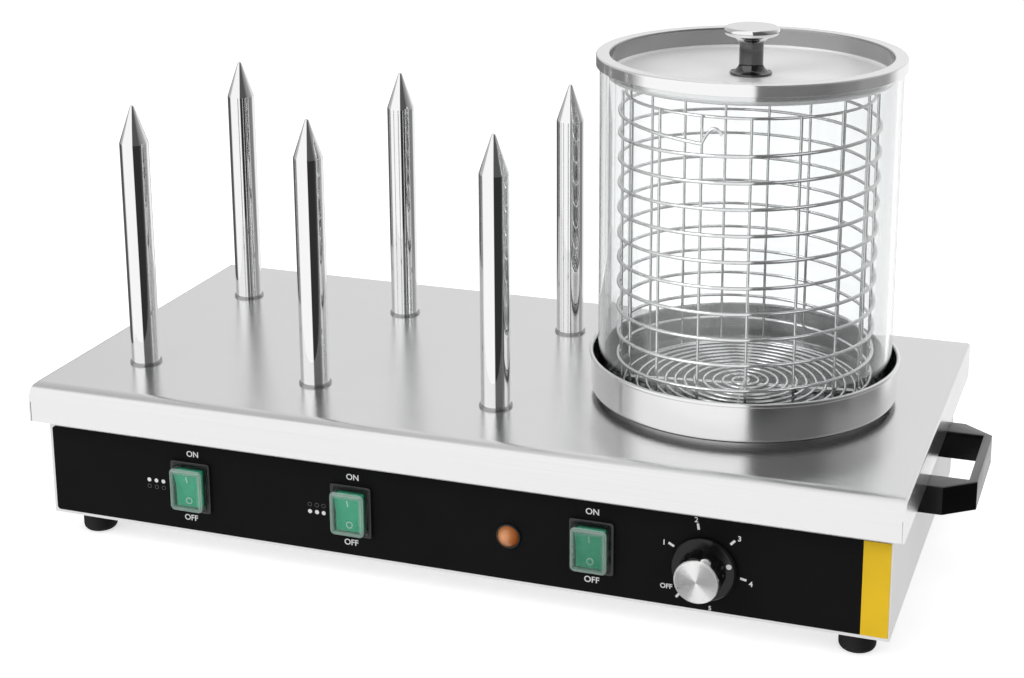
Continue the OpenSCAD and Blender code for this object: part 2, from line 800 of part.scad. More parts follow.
module pilot_nut() {
    color("dimgray") on_fascia(lamp_x, lamp_z) translate([0, 0, -front_stack - lamp_nut_t]) difference() {
        hex(lamp_neck_d + 5, lamp_nut_t);
        translate([0, 0, -cut]) cylinder(d = lamp_neck_d + hole_gap, h = lamp_nut_t + 2 * cut);
    }
}

module thermostat_body() {
    color("tan") on_fascia(dial_x, dial_z) difference() {
        union() {
            translate([0, 0, -front_stack - thermostat_depth / 2])
                cube([thermostat_w, thermostat_w, thermostat_depth], center = true);
            translate([0, 0, -front_stack - cut]) cylinder(d = bush_d, h = front_stack + cut);
        }
        translate([0, 0, -shaft_in - cut]) cylinder(d = shaft_d + 2 * shaft_gap, h = shaft_in + 2 * cut);
    }
}

module thermostat_shaft() {
    color("silver") on_fascia(dial_x, dial_z) translate([0, 0, -shaft_in])
        cylinder(d = shaft_d, h = shaft_in + shaft_out);
}

// Skirt with a chamfered rim, and a fluted grip that is bored for the shaft
module knob_grip() {
    chamfer = 1.2;
    color("#171719") on_fascia(dial_x, dial_z) difference() {
        rotate_extrude() polygon([[0, skirt_back], [skirt_d / 2, skirt_back],
            [skirt_d / 2, skirt_front - chamfer], [skirt_d / 2 - chamfer, skirt_front],
            [grip_d / 2, skirt_front], [grip_d / 2, cap_back], [0, cap_back]]);
        for (i = [0:flutes - 1]) rotate([0, 0, nub_angle + 360 / flutes * (i + 0.5)])
            translate([grip_d / 2 + flute_d / 4, 0, skirt_front + flute_foot])
                cylinder(d = flute_d, h = knob_reach, $fn = 32);
        cylinder(d = shaft_d + 0.04, h = shaft_out);
    }
}

// Spun cap with a chamfered rim and a round nub that marks its turn
module knob_cap() {
    chamfer = 0.8;
    color("whitesmoke") on_fascia(dial_x, dial_z) {
        rotate_extrude() polygon([[0, cap_back], [cap_d / 2, cap_back], [cap_d / 2, knob_reach - chamfer],
            [cap_d / 2 - chamfer, knob_reach], [0, knob_reach]]);
        rotate([0, 0, nub_angle]) translate([cap_d / 2 - 0.5, 0, cap_back])
            cylinder(d = nub_d, h = cap_t - chamfer - 0.5, $fn = 32);
    }
}

module pan_seat() {
    color("silver") at_steamer(cover_z) difference() {
        cylinder(d = seat_d, h = seat_h, $fn = 96);
        translate([0, 0, -cut]) cylinder(d = boiler_hole, h = seat_h + 2 * cut, $fn = 96);
    }
}

// Shallow pressed pan with a rolled bead round its rim
module water_pan() {
    r = pan_d / 2;
    bead_z = pan_rim - pan_bead;
    color("gainsboro") at_steamer() rotate_extrude($fn = 96) {
        translate([0, pan_z]) square([r - pan_bend, pan_t]);
        translate([r - pan_bend, pan_z + pan_bend]) intersection() {
            difference() {
                circle(pan_bend);
                circle(pan_bend - pan_t);
            }
            translate([0, -pan_bend]) square(pan_bend);
        }
        translate([r - pan_t, pan_z + pan_bend]) square([pan_t, bead_z - pan_z - pan_bend]);
        translate([r, bead_z]) circle(pan_bead);
    }
}

module boiler_heater() {
    color("dimgray") at_steamer(boiler_z) {
        cylinder(d = boiler_d, h = boiler_t);
    }
}

// Bar that presses the heater up against the pan
module heater_clamp() {
    color("silver") at_steamer(boiler_z - clamp_t) difference() {
        translate([-clamp_stud_x - clamp_w / 2, -clamp_w / 2, 0])
            cube([2 * clamp_stud_x + clamp_w, clamp_w, clamp_t]);
        for (x = [-clamp_stud_x, clamp_stud_x])
            translate([x, 0, -cut])
                cylinder(d = clamp_stud_d + 2 * hole_gap, h = clamp_t + 2 * cut, $fn = 24);
    }
}

module clamp_fixings() {
    nut_z = boiler_z - clamp_t - clamp_nut_t;
    color("dimgray") for (x = [-clamp_stud_x, clamp_stud_x]) at_steamer() translate([x, 0, 0]) {
        translate([0, 0, nut_z - 2])
            cylinder(d = clamp_stud_d, h = cover_under - nut_z + 2, $fn = 24);
        translate([0, 0, nut_z]) difference() {
            hex(1.7 * clamp_stud_d, clamp_nut_t);
            translate([0, 0, -cut])
                cylinder(d = clamp_stud_d + 2 * hole_gap, h = clamp_nut_t + 2 * cut, $fn = 24);
        }
    }
}

module thermal_cutout() {
    disc_d = 16;
    disc_h = 9;
    color("#2a2a2c") at_steamer(boiler_z - disc_h) translate([0, boiler_d / 4, 0]) {
        cylinder(d = disc_d, h = disc_h);
        for (x = [-1, 1])
            translate([x * disc_d / 3, 0, -blade[2] / 2 + 1]) cube(blade, center = true);
    }
}

module basket_helix() {
    color("gainsboro") at_steamer() wire(coil_path, coil_wire);
}

module basket_uprights() {
    color("gainsboro") at_steamer(bar_top) for (i = [0:uprights - 1])
        rotate([0, 0, 8.5 + 360 / uprights * i]) translate([upright_r, 0, 0])
            cylinder(d = upright_wire, h = upright_h, $fn = 24);
}

module wire_ring(z) {
    at_steamer(z) rotate_extrude($fn = 96) translate([ring_r, 0]) circle(d = ring_wire, $fn = 24);
}

module basket_rim() {
    color("gainsboro") wire_ring(rim_z);
}

module basket_base_ring() {
    color("gainsboro") wire_ring(bar_top + ring_wire / 2);
}

module basket_floor() {
    color("gainsboro") at_steamer() wire(floor_path, floor_wire);
}

module basket_floor_bars() {
    color("gainsboro") at_steamer(bar_z) for (a = [0, 90])
        rotate([0, 0, a + 8.5]) rotate([0, 90, 0])
            cylinder(d = bar_wire, h = 2 * upright_r, center = true, $fn = 24);
}

module glass_cylinder() {
    color("aliceblue", 0.35) at_steamer(glass_z) difference() {
        cylinder(d = glass_d, h = glass_h, $fn = 96);
        translate([0, 0, -cut]) cylinder(d = glass_d - 2 * glass_t, h = glass_h + 2 * cut, $fn = 96);
    }
}

// Pressed lid: a sunk middle inside the glass, a flat ring on top of it and a band outside
module lid_pan() {
    r = lid_d / 2;
    recess_r = recess_d / 2;
    color("gainsboro") at_steamer() difference() {
        rotate_extrude($fn = 96) {
            translate([0, lid_floor - lid_t]) square([recess_r + lid_t, lid_t]);
            translate([recess_r, lid_floor - lid_t]) square([lid_t, lid_top - lid_floor + lid_t]);
            translate([recess_r, lid_under]) square([r - recess_r, lid_t]);
            translate([r - lid_t, lid_top - lid_band]) square([lid_t, lid_band]);
        }
        translate([0, 0, lid_floor - lid_t - cut])
            cylinder(d = lid_screw_d + 2 * hole_gap, h = lid_t + 2 * cut, $fn = 24);
    }
}

// Mushroom knob: flared foot, stem and a round-edged head
module lid_knob() {
    head_t = 6;
    edge = head_t / 2;
    flare = (lid_foot_d - lid_stem_d) / 2;
    color("whitesmoke") at_steamer(lid_floor) difference() {
        rotate_extrude() {
            square([lid_stem_d / 2, lid_knob_h - edge]);
            difference() {
                square([lid_foot_d / 2, flare + 1.5]);
                translate([lid_foot_d / 2, flare + 1.5]) circle(flare);
            }
            translate([0, lid_knob_h - head_t]) square([lid_knob_d / 2 - edge, head_t]);
            translate([lid_knob_d / 2 - edge, lid_knob_h - edge]) circle(edge);
        }
        translate([0, 0, -cut])
            cylinder(d = lid_screw_d + 2 * hole_gap, h = lid_screw_grip + 2 * cut, $fn = 24);
    }
}

module lid_screw() {
    color("silver") at_steamer(lid_floor - lid_t) {
        translate([0, 0, -lid_screw_head]) cylinder(d = 2 * lid_screw_d, h = lid_screw_head, $fn = 32);
        cylinder(d = lid_screw_d, h = lid_t + lid_screw_grip, $fn = 24);
    }
}

// Screw terminal block on the base plate, near the gland
module terminal_block() {
    color("ivory") translate([left_x + gland_x + block_from_gland, body_d / 4, base_top]) difference() {
        translate([0, 0, block[2] / 2]) cube(block, center = true);
        for (i = [0:block_ways - 1])
            translate([(i - (block_ways - 1) / 2) * block[0] / block_ways, 0, block[2] / 2])
                cylinder(d = block_bore, h = block[2], $fn = 32);
    }
}

module at_gland() {
    translate([left_x + gland_x, body_d / 2, foot_h + gland_z]) rotate([-90, 0, 0]) children();
}

module cable_gland() {
    color("#1d1d1f") at_gland() difference() {
        union() {
            translate([0, 0, -gland_neck_l]) cylinder(d = gland_neck_d, h = gland_neck_l + cut);
            hex(gland_flange_d - 2, gland_flange_t);
            cylinder(d = gland_neck_d + 3, h = gland_reach - 4);
            cylinder(d = gland_neck_d, h = gland_reach);
        }
        translate([0, 0, -gland_neck_l - cut])
            cylinder(d = gland_bore, h = gland_neck_l + gland_reach + 2 * cut, $fn = 32);
    }
}

module gland_nut() {
    color("#1d1d1f") at_gland() translate([0, 0, -sheet_t - gland_nut_t]) difference() {
        hex(gland_neck_d + 6, gland_nut_t);
        translate([0, 0, -cut]) cylinder(d = gland_neck_d + hole_gap, h = gland_nut_t + 2 * cut);
    }
}

base_plate();
front_panel();
rear_panel();
side_panel(-1);  // side_panel_left
side_panel(1);  // side_panel_right
top_cover();
control_fascia();
accent_strip();
handle(-1);  // handle_left
handle(1);  // handle_right
handle_screws();
feet();
foot_fixings();
base_screws();
spike(0, 0);  // spike_front_left
spike(1, 0);  // spike_front_middle
spike(2, 0);  // spike_front_right
spike(0, 1);  // spike_rear_left
spike(1, 1);  // spike_rear_middle
spike(2, 1);  // spike_rear_right
spike_collars();
spike_nuts();
spike_heaters();
switch_housing(0);  // switch_housing_left
switch_housing(1);  // switch_housing_middle
switch_housing(2);  // switch_housing_right
rocker(0);  // rocker_left
rocker(1);  // rocker_middle
rocker(2);  // rocker_right
boot(0);  // boot_left
boot(1);  // boot_middle
boot(2);  // boot_right
switch_terminals();
pilot_collar();
pilot_lens();
pilot_nut();
thermostat_body();
thermostat_shaft();
knob_grip();
knob_cap();
pan_seat();
water_pan();
boiler_heater();
heater_clamp();
clamp_fixings();
thermal_cutout();
basket_helix();
basket_uprights();
basket_rim();
basket_base_ring();
basket_floor();
basket_floor_bars();
glass_cylinder();
lid_pan();
lid_knob();
lid_screw();
terminal_block();
cable_gland();
gland_nut();
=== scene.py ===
import math

import bmesh
import bpy
from mathutils import Matrix, Vector


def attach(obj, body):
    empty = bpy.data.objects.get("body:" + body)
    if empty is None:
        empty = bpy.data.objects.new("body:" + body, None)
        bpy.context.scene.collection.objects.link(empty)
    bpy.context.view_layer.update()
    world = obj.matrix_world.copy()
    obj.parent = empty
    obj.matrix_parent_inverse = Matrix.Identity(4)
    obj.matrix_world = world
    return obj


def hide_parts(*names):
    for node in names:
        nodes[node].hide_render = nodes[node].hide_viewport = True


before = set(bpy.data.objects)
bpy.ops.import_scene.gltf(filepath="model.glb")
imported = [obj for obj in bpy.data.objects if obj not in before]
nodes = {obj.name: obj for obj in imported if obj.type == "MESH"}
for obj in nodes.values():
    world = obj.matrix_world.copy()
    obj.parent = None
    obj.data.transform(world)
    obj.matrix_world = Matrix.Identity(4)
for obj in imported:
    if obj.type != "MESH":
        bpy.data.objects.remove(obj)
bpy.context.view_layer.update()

# Sizes and places in millimetres, as in the solids
MM = 0.001

# Case
COVER_Z = 117.0
FASCIA_Y = -140.8
# A handle's top, and the depth of the painted highlight on its top faces
HANDLE_TOP, TOP_HIGHLIGHT_DEPTH = 90.0, 1.2
FEET = [(x, y) for x in (-275, 275) for y in (-118, 118)]
FOOT_R, FOOT_H, FOOT_BORE, FOOT_WELL, WELL_H = 12, 18, 2.6, 5.5, 9

# Spikes
SPIKES = {"front_left": (-252, -81), "front_middle": (-117, -81), "front_right": (18, -81),
          "rear_left": (-252, 81), "rear_middle": (-117, 81), "rear_right": (18, 81)}
SPIKE_R, SPIKE_H, SPIKE_CONE, SPIKE_TIP = 10.25, 190.0, 27.0, 1.6
SPIKE_BORE, BORE_TOP, SPIKE_STUD, STUD_END = 5.1, 153, 7, -14
COLLAR_IN, COLLAR_OUT, COLLAR_H = 10.3, 11.5, 1.5

# Controls on the fascia: places are across and up
SWITCHES = {"left": -185.5, "middle": -64.0, "right": 105.7}
SWITCH_Z = 53.5
PIVOT_OUT, ROCKER_TILT, ROCKER_MID = 0.2, math.radians(8), 4.5
BOOT_HALF_W, BOOT_HALF_H, BOOT_FOOT, BOOT_FACE = 12.3, 15.4, 4.0, 7.8
LAMP = (48.5, 52.0)
# The amber lens's painted highlight: its shift up and to the left, and the reach of its fade to painted shade
LENS_HIGHLIGHT_SHIFT, HIGHLIGHT_REACH = 1.6, 8.5
DIAL = (180.3, 49.8)
CAP_GROOVE = 0.6
POINTER_TURN, POINTER_REACH, POINTER_R, POINTER_LOW, POINTER_HIGH = math.radians(17.5), 17.6, 1.8, 4.52, 4.6

# Steamer
STEAMER_X = 170.0
PAN_Z, PAN_RIM, PAN_R, PAN_T, PAN_BEND, PAN_BEAD, BEAD_NECK = 120.0, 148.0, 104.5, 1.0, 3.6, 1.5, 2
GLASS_Z, GLASS_TOP, GLASS_IN, GLASS_OUT, GLASS_EDGE = 121.3, 353.3, 96, 100, 0.9
LID_FLOOR, LID_TOP, LID_T, LID_WELL, LID_R, LID_SKIRT, LID_BORE = 340.8, 354.8, 1.2, 93.2, 102.5, 8, 2.6
KNOB_H, KNOB_STEM, KNOB_FOOT, KNOB_TURN_Z = 32, 8, 14, 24.5

# Basket
BAR_TOP, FLOOR_Z, RIM_Z = 124.4, 125.5, 329.4
COIL_R, COIL_LOW, COIL_HIGH, COIL_TURNS, COIL_START = 86.5, 132.0, 322.4, 11, -97.0
COIL_DIP, DIP_SHARE = 10.0, 0.03
HOOK_STEPS, HOOK_TURN, HOOK_IN, HOOK_RISE = 12, 8.6, 1.2, 10.4
SPIRAL_IN, SPIRAL_OUT, SPIRAL_TURNS = 3.6, 79.05, 11.43
UPRIGHTS, UPRIGHT_R, UPRIGHT_TOP, UPRIGHT_PHASE = 17, 84.25, 330.4, 8.5
BAR_REACH, BAR_DROP, BAR_ANGLES = UPRIGHT_R - 0.5, 1.6, (8.5, 98.5)
RING_R, WELD_R, WELD_BEAD = 82.15, 85.3, 0.85
COIL_WIRE, SPIRAL_WIRE, UPRIGHT_WIRE, RING_WIRE, BAR_WIRE, HOOK_WIRE = 2.4, 2.2, 2.0, 2.0, 3.0, 2.2


class Value:
    """A socket that Python's operators work on: each one adds a Math node."""

    def __init__(self, graph, socket):
        self.graph = graph
        self.socket = socket

    def math(self, operation, *values):
        return self.graph.node("ShaderNodeMath", {"operation": operation}, *values)

    def __add__(self, other):
        return self.math("ADD", self, other)

    __radd__ = __add__

    def __sub__(self, other):
        return self.math("SUBTRACT", self, other)

    def __rsub__(self, other):
        return self.math("SUBTRACT", other, self)

    def __mul__(self, other):
        return self.math("MULTIPLY", self, other)

    __rmul__ = __mul__

    def __truediv__(self, other):
        return self.math("DIVIDE", self, other)

    def __gt__(self, other):
        return self.math("GREATER_THAN", self, other)

    def __lt__(self, other):
        return self.math("LESS_THAN", self, other)

    def squared(self):
        return self * self

    def size(self):
        return self.math("ABSOLUTE", self)

    def root(self):
        return self.math("SQRT", self)

    def sine(self):
        return self.math("SINE", self)

    def larger(self, other):
        return self.math("MAXIMUM", self, other)

    def clamped(self):
        return self.graph.node("ShaderNodeClamp", None, self)


class Graph:
    """A node tree that one method fills."""

    def __init__(self, tree):
        self.tree = tree

    def node(self, kind, settings=None, *values, out=0, **named):
        made = self.tree.nodes.new(kind)
        for key, setting in (settings or {}).items():
            if key == "stops":
                set_stops(made.color_ramp, setting)
            else:
                setattr(made, key, setting)
        for key, value in enumerate(values):
            self.feed(made.inputs[key], value)
        for key, value in named.items():
            self.feed(made.inputs[key.replace("_", " ")], value)
        if isinstance(out, tuple):
            return [Value(self, made.outputs[o]) for o in out]
        return Value(self, made.outputs[out])

    def feed(self, socket, value):
        if isinstance(value, Value):
            self.tree.links.new(value.socket, socket)
        elif value is not None:
            socket.default_value = value

    def split(self, vector):
        return self.node("ShaderNodeSeparateXYZ", None, vector, out=(0, 1, 2))

    def tint(self, factor, low, high):
        return self.node("ShaderNodeMix", {"data_type": "RGBA"}, factor, *[None] * 5, low, high, out=2)

    def ramp(self, value, stops):
        return self.node("ShaderNodeValToRGB", {"stops": stops}, value)

    def sight(self):
        """Two masks: rays that come straight or through glass, and rays that a shiny piece mirrored.

        A mirrored ray that then goes through one wall of glass counts as straight."""
        camera, diffuse, through, mirrors, windows = self.node("ShaderNodeLightPath", None, out=(
            "Is Camera Ray", "Is Diffuse Ray", "Is Transmission Ray", "Glossy Depth", "Transmission Depth"))
        mirrored = (mirrors > 0.5) * (1 - through * (windows < 2.5))
        return (camera + through).clamped() * (1 - mirrored), mirrored * (1 - diffuse)

    def studio(self, direction, stops):
        """Brightness of the room by compass direction, from the front round to the right."""
        x, y, _ = self.split(direction)
        turn = x.math("ARCTAN2", x, 0 - y) / math.tau + 0.5
        return self.ramp(turn, [((angle + 180) / 360, grey(level)) for angle, level in stops])


def set_stops(ramp, stops):
    while len(ramp.elements) > 1:
        ramp.elements.remove(ramp.elements[-1])
    ramp.elements[0].position, ramp.elements[0].color = stops[0]
    for position, colour in stops[1:]:
        ramp.elements.new(position).color = colour


def grey(level):
    return (level, level, level, 1)


def rgb(red, green, blue):
    return (red, green, blue, 1)


class Finish(Graph):
    """A material on one Principled shader."""

    def __init__(self, name):
        self.material = bpy.data.materials.new(name)
        self.material.use_nodes = True
        super().__init__(self.material.node_tree)
        self.tree.nodes.clear()
        self.output = self.tree.nodes.new("ShaderNodeOutputMaterial")
        self.shader = self.tree.nodes.new("ShaderNodeBsdfPrincipled")
        self.tree.links.new(self.shader.outputs[0], self.output.inputs[0])

    def set(self, **sockets):
        for key, value in sockets.items():
            self.feed(self.shader.inputs[key.replace("_", " ")], value)
        return self

    def place(self, stretch=(1, 1, 1), centre=(0, 0, 0)):
        """Object coordinates in metres, about a centre in millimetres, stretched along each axis."""
        at = self.node("ShaderNodeTexCoord", None, out="Object")
        at = self.node("ShaderNodeVectorMath", {"operation": "SUBTRACT"}, at, [c * MM for c in centre])
        return self.node("ShaderNodeVectorMath", {"operation": "MULTIPLY"}, at, stretch)

    def noise(self, at, detail=2.0):
        return self.node("ShaderNodeTexNoise", None, Vector=at, Scale=1.0, Detail=detail)

    def specks(self, fineness, detail=2.0):
        """Noise that is equally fine along each axis."""
        return self.noise(self.place((fineness,) * 3), detail)

    def bump(self, height, depth):
        self.set(Normal=self.node("ShaderNodeBump", None, Height=height, Distance=depth, Strength=1.0))
        return self


# Finishes: depths in metres, fineness in cells per metre

def brushed_steel(name, shade, stretch, roughness, depth, metallic):
    """Long fine lines: noise that is squeezed across the brushing direction."""
    f = Finish(name)
    lines = f.noise(f.place(stretch), 3.0)
    clouds = f.specks(12)
    f.set(Base_Color=f.tint(lines, grey(shade * 0.86), grey(shade)), Metallic=metallic,
          Roughness=roughness - 0.12 + lines * 0.16 + clouds * 0.08)
    return f.bump(lines, depth)


def turned_steel(name, shade, roughness, inner_r, painted_inner_shade, floor_z, floor_painted_shade, floor_rough,
                 metallic=1.0, floor_metallic=1.0):
    """Polished metal with faint rings about the steamer's axis, painted shade darkening the inside of its wall, and
    a shade of its own on its floor, on the pan a painted dark shade.
    """
    ring_fineness, floor_edge, inner_edge = 1500, 1200, 1500
    f = Finish(name)
    x, y, z = f.split(f.place(centre=(STEAMER_X, 0, 0)))
    radius = (x.squared() + y.squared()).root()
    rings = f.node("ShaderNodeCombineXYZ", None, radius * ring_fineness, z * ring_fineness, 0.0)
    rings = f.noise(rings, 3.0)
    clouds = f.specks(25)
    wall = ((z - floor_z * MM) * floor_edge).clamped()
    outer = ((radius - inner_r * MM) * inner_edge).clamped()
    # Painted shade: the inside of the wall is darkened, and the floor takes its own shade
    side = f.tint(outer, grey(painted_inner_shade), f.tint(clouds, grey(shade * 0.96), grey(shade)))
    f.set(Base_Color=f.tint(wall, grey(floor_painted_shade), side),
          Metallic=floor_metallic + wall * (metallic - floor_metallic),
          Roughness=floor_rough + wall * (roughness - floor_rough) + rings * 0.04 + clouds * 0.04,
          Anisotropic=0.9, Anisotropic_Rotation=0.25)
    return f.bump(rings, 0.0000006)


def spun_metal(name, shade, centre):
    """Cap face with turned grooves, which spread the light into a bow tie."""
    f = Finish(name)
    x, _, z = f.split(f.place(centre=centre))
    radius = (x.squared() + z.squared()).root()
    grooves = (radius * (math.tau / (CAP_GROOVE * MM))).sine()
    wear = f.specks(300, 3.0)
    f.set(Base_Color=f.tint(wear, grey(shade * 0.92), grey(shade)), Metallic=1.0, Roughness=0.10 + wear * 0.06)
    return f.bump(grooves, 0.00009)


def chrome(name, shade, roughness):
    """Mirror plating with faint wipe marks."""
    f = Finish(name)
    wipes = f.noise(f.place((60, 60, 8)), 3.0)
    return f.set(Base_Color=f.tint(wipes, grey(shade * 0.93), grey(shade)), Metallic=1.0,
                 Roughness=roughness + wipes * roughness)


def chrome_knob_painted_dark_stem(name, head_z):
    """Chrome knob: a bright head, and a stem darkened as a painted dark reflection."""
    blend = 2.5
    f = Finish(name)
    z = f.split(f.place())[2]
    wipes = f.specks(60, 3.0)
    # Painted reflection: below the head the chrome is darkened
    head = ((z - (head_z - blend) * MM) / (blend * MM)).clamped()
    return f.set(Base_Color=f.tint(head, grey(0.13), grey(0.92)), Metallic=1.0, Roughness=0.03 + wipes * 0.05)


def plated_steel(name, shade):
    """Dull plating with a fine crystal grain."""
    f = Finish(name)
    grain = f.specks(400, 4.0)
    f.set(Base_Color=f.tint(grain, grey(shade * 0.8), grey(shade)), Metallic=1.0, Roughness=0.26 + grain * 0.2)
    return f.bump(grain, 0.00002)


def terminal_brass(name):
    """Drawn brass with dark and bright patches."""
    f = Finish(name)
    grain = f.specks(500, 3.0)
    return f.set(Base_Color=f.tint(grain, rgb(0.58, 0.40, 0.15), rgb(0.78, 0.60, 0.28)), Metallic=1.0,
                 Roughness=0.22 + grain * 0.2)


def moulding(name, colour, roughness, grain_depth, specular=0.4, grain_size=2500, painted_top_highlight=0.0):
    """Moulded plastic or rubber: a fine sparked grain, slightly worn patches, and on a handle a painted highlight
    that lightens its top faces.
    """
    f = Finish(name)
    grain = f.specks(grain_size)
    wear = f.specks(40, 3.0)
    worn = [c * 1.25 + 0.002 for c in colour]
    base = f.tint(wear, rgb(*colour), rgb(*worn))
    # Painted highlight: the top faces of a handle are tinted towards white
    if painted_top_highlight:
        height = f.split(f.place(centre=(0, 0, HANDLE_TOP)))[2]
        base = f.tint((1 + height / (TOP_HIGHLIGHT_DEPTH * MM)).clamped() * painted_top_highlight, base, grey(1))
    f.set(Base_Color=base, Roughness=roughness - 0.06 + wear * 0.12, Specular_IOR_Level=specular)
    return f.bump(grain, grain_depth)


def clear_glass(name):
    """Clear glass with a faint film of steam marks."""
    f = Finish(name)
    film = f.noise(f.place((18, 18, 7)), 3.0)
    return f.set(Base_Color=rgb(0.97, 0.985, 0.985), Roughness=film * 0.012, IOR=1.75, Transmission_Weight=1.0)


def rocker_green(name):
    """Translucent green moulding with lighter and darker patches."""
    f = Finish(name)
    patches = f.specks(300)
    return f.set(Base_Color=f.tint(patches, rgb(0.026, 0.45, 0.24), rgb(0.065, 0.62, 0.36)),
                 Roughness=0.3 + patches * 0.1, Subsurface_Weight=0.15,
                 Subsurface_Radius=(0.002, 0.004, 0.003), Coat_Weight=0.3)


def boot_film(name, x):
    """Soft clear cover: a clear face, with a milky rim where the wall turns."""
    f = Finish(name)
    across, out, up = f.split(f.place(centre=(x, FASCIA_Y, SWITCH_Z)))
    edge = (across.size() / (BOOT_HALF_W * MM)).larger(up.size() / (BOOT_HALF_H * MM))
    raised = ((0 - out - BOOT_FOOT * MM) * 500).clamped()
    rim = ((edge - 0.70) * 5).clamped() * ((0 - out - BOOT_FACE * MM) * 900).clamped()
    haze = f.specks(260, 3.0)
    f.set(Base_Color=f.tint(rim, rgb(0.16, 0.42, 0.30), rgb(0.50, 0.66, 0.58)), Roughness=0.2 + haze * 0.16,
          Alpha=0.01 + raised * (0.08 + haze * 0.06) + rim * 0.42, Specular_IOR_Level=0.4)
    return f.bump(haze, 0.00005)


def amber_lens(name):
    """Amber dome, palest at a painted highlight up and to the left, with painted shade towards its edges."""
    f = Finish(name)
    x, _, z = f.split(f.place(centre=(LAMP[0] - LENS_HIGHLIGHT_SHIFT, 0, LAMP[1] + LENS_HIGHLIGHT_SHIFT)))
    # Painted highlight and shade: paler near the shifted centre, darker out to the reach
    highlight_falloff = ((x.squared() + z.squared()).root() / (HIGHLIGHT_REACH * MM)).clamped()
    cut = f.specks(420)
    f.set(Base_Color=f.tint(highlight_falloff, rgb(0.86, 0.38, 0.15), rgb(0.42, 0.10, 0.012)), Roughness=0.1 + cut * 0.14,
          Subsurface_Weight=0.2, Subsurface_Radius=(0.004, 0.002, 0.001), Coat_Weight=0.5)
    return f.bump(cut, 0.0003)


def printed_ink(name, colour):
    """Screen-printed ink, slightly uneven."""
    f = Finish(name)
    screen = f.specks(1500)
    return f.set(Base_Color=f.tint(screen, rgb(*[c * 0.92 for c in colour]), rgb(*colour)),
                 Roughness=0.5 + screen * 0.1, Specular_IOR_Level=0.2)


COVER = brushed_steel("cover_brushed_steel", shade=0.93, stretch=(4, 3000, 3000), roughness=0.17,
                      depth=0.00005, metallic=0.93)
PANEL = brushed_steel("panel_brushed_steel", shade=0.92, stretch=(900, 900, 6), roughness=0.40,
                      depth=0.00002, metallic=0.65)
# Painted shade darkens the pan's inner wall and floor and the lid's recess wall
PAN = turned_steel("pan_turned_steel", shade=0.92, roughness=0.17, inner_r=103.7, painted_inner_shade=0.36,
                   floor_z=PAN_Z + 1.3, floor_painted_shade=0.16, floor_rough=0.1)
LID = turned_steel("lid_turned_steel", shade=0.98, roughness=0.12, inner_r=93.6, painted_inner_shade=0.42,
                   floor_z=LID_FLOOR + 1.5, floor_painted_shade=1.0, floor_rough=0.3, metallic=0.82, floor_metallic=0.45)
WIRE = chrome("basket_bright_wire", shade=0.86, roughness=0.035)
SPIKE = chrome("spike_mirror_chrome", shade=0.95, roughness=0.025)
# The spike collars are a darker grey: painted shade at the spikes' feet
COLLAR_PAINTED_SHADE = chrome("collar_grey_steel", shade=0.44, roughness=0.10)
# The lid knob's stem carries a painted dark reflection
LID_KNOB = chrome_knob_painted_dark_stem("lid_knob_chrome", LID_FLOOR + KNOB_TURN_Z)
CAP = spun_metal("knob_spun_cap", 1.0, (DIAL[0], 0, DIAL[1]))
ZINC = plated_steel("zinc_plated_steel", 0.66)
HEATER = plated_steel("heat_stained_steel", 0.30)
BRASS = terminal_brass("terminal_brass")
FILM = moulding("fascia_satin_film", (0.0060, 0.0060, 0.0063), roughness=0.52, grain_depth=0.000006,
                specular=0.05, grain_size=3500)
YELLOW = moulding("accent_satin_film", (0.87, 0.56, 0.02), roughness=0.5, grain_depth=0.000006,
                  specular=0.2, grain_size=3500)
# The handle's top faces carry a painted highlight
HANDLE = moulding("handle_moulded_black", (0.003, 0.003, 0.0035), roughness=0.20, grain_depth=0.00002,
                  specular=0.2, painted_top_highlight=0.17)
HANDLE.set(Sheen_Weight=0.5, Sheen_Roughness=0.2)
RUBBER = moulding("foot_rubber", (0.012, 0.012, 0.012), roughness=0.7, grain_depth=0.00003, specular=0.3)
SWITCH = moulding("switch_gloss_black", (0.010, 0.010, 0.011), roughness=0.2, grain_depth=0.000004, specular=0.5)
GRIP = moulding("knob_gloss_black", (0.006, 0.006, 0.0065), roughness=0.15, grain_depth=0.000004, specular=0.35)
PHENOLIC = moulding("thermostat_phenolic", (0.22, 0.12, 0.06), roughness=0.5, grain_depth=0.00002)
IVORY = moulding("terminal_ivory", (0.72, 0.68, 0.55), roughness=0.45, grain_depth=0.00001)
GLASS = clear_glass("cylinder_clear_glass")
GREEN = rocker_green("rocker_green")
BOOTS = {name: boot_film("boot_clear_film_" + name, x) for name, x in SWITCHES.items()}
AMBER = amber_lens("lamp_amber")
WHITE_INK = printed_ink("legend_white_ink", (0.95, 0.95, 0.95))
DIM_INK = printed_ink("legend_dim_ink", (0.10, 0.10, 0.10))
MINT_INK = printed_ink("rocker_mark_ink", (0.72, 0.90, 0.82))


# Shapes: a part is a list of points in millimetres and a list of faces

def arc(x, y, radius, start, end, steps):
    angles = [math.radians(start + (end - start) * i / steps) for i in range(steps + 1)]
    return [(x + radius * math.cos(a), y + radius * math.sin(a)) for a in angles]


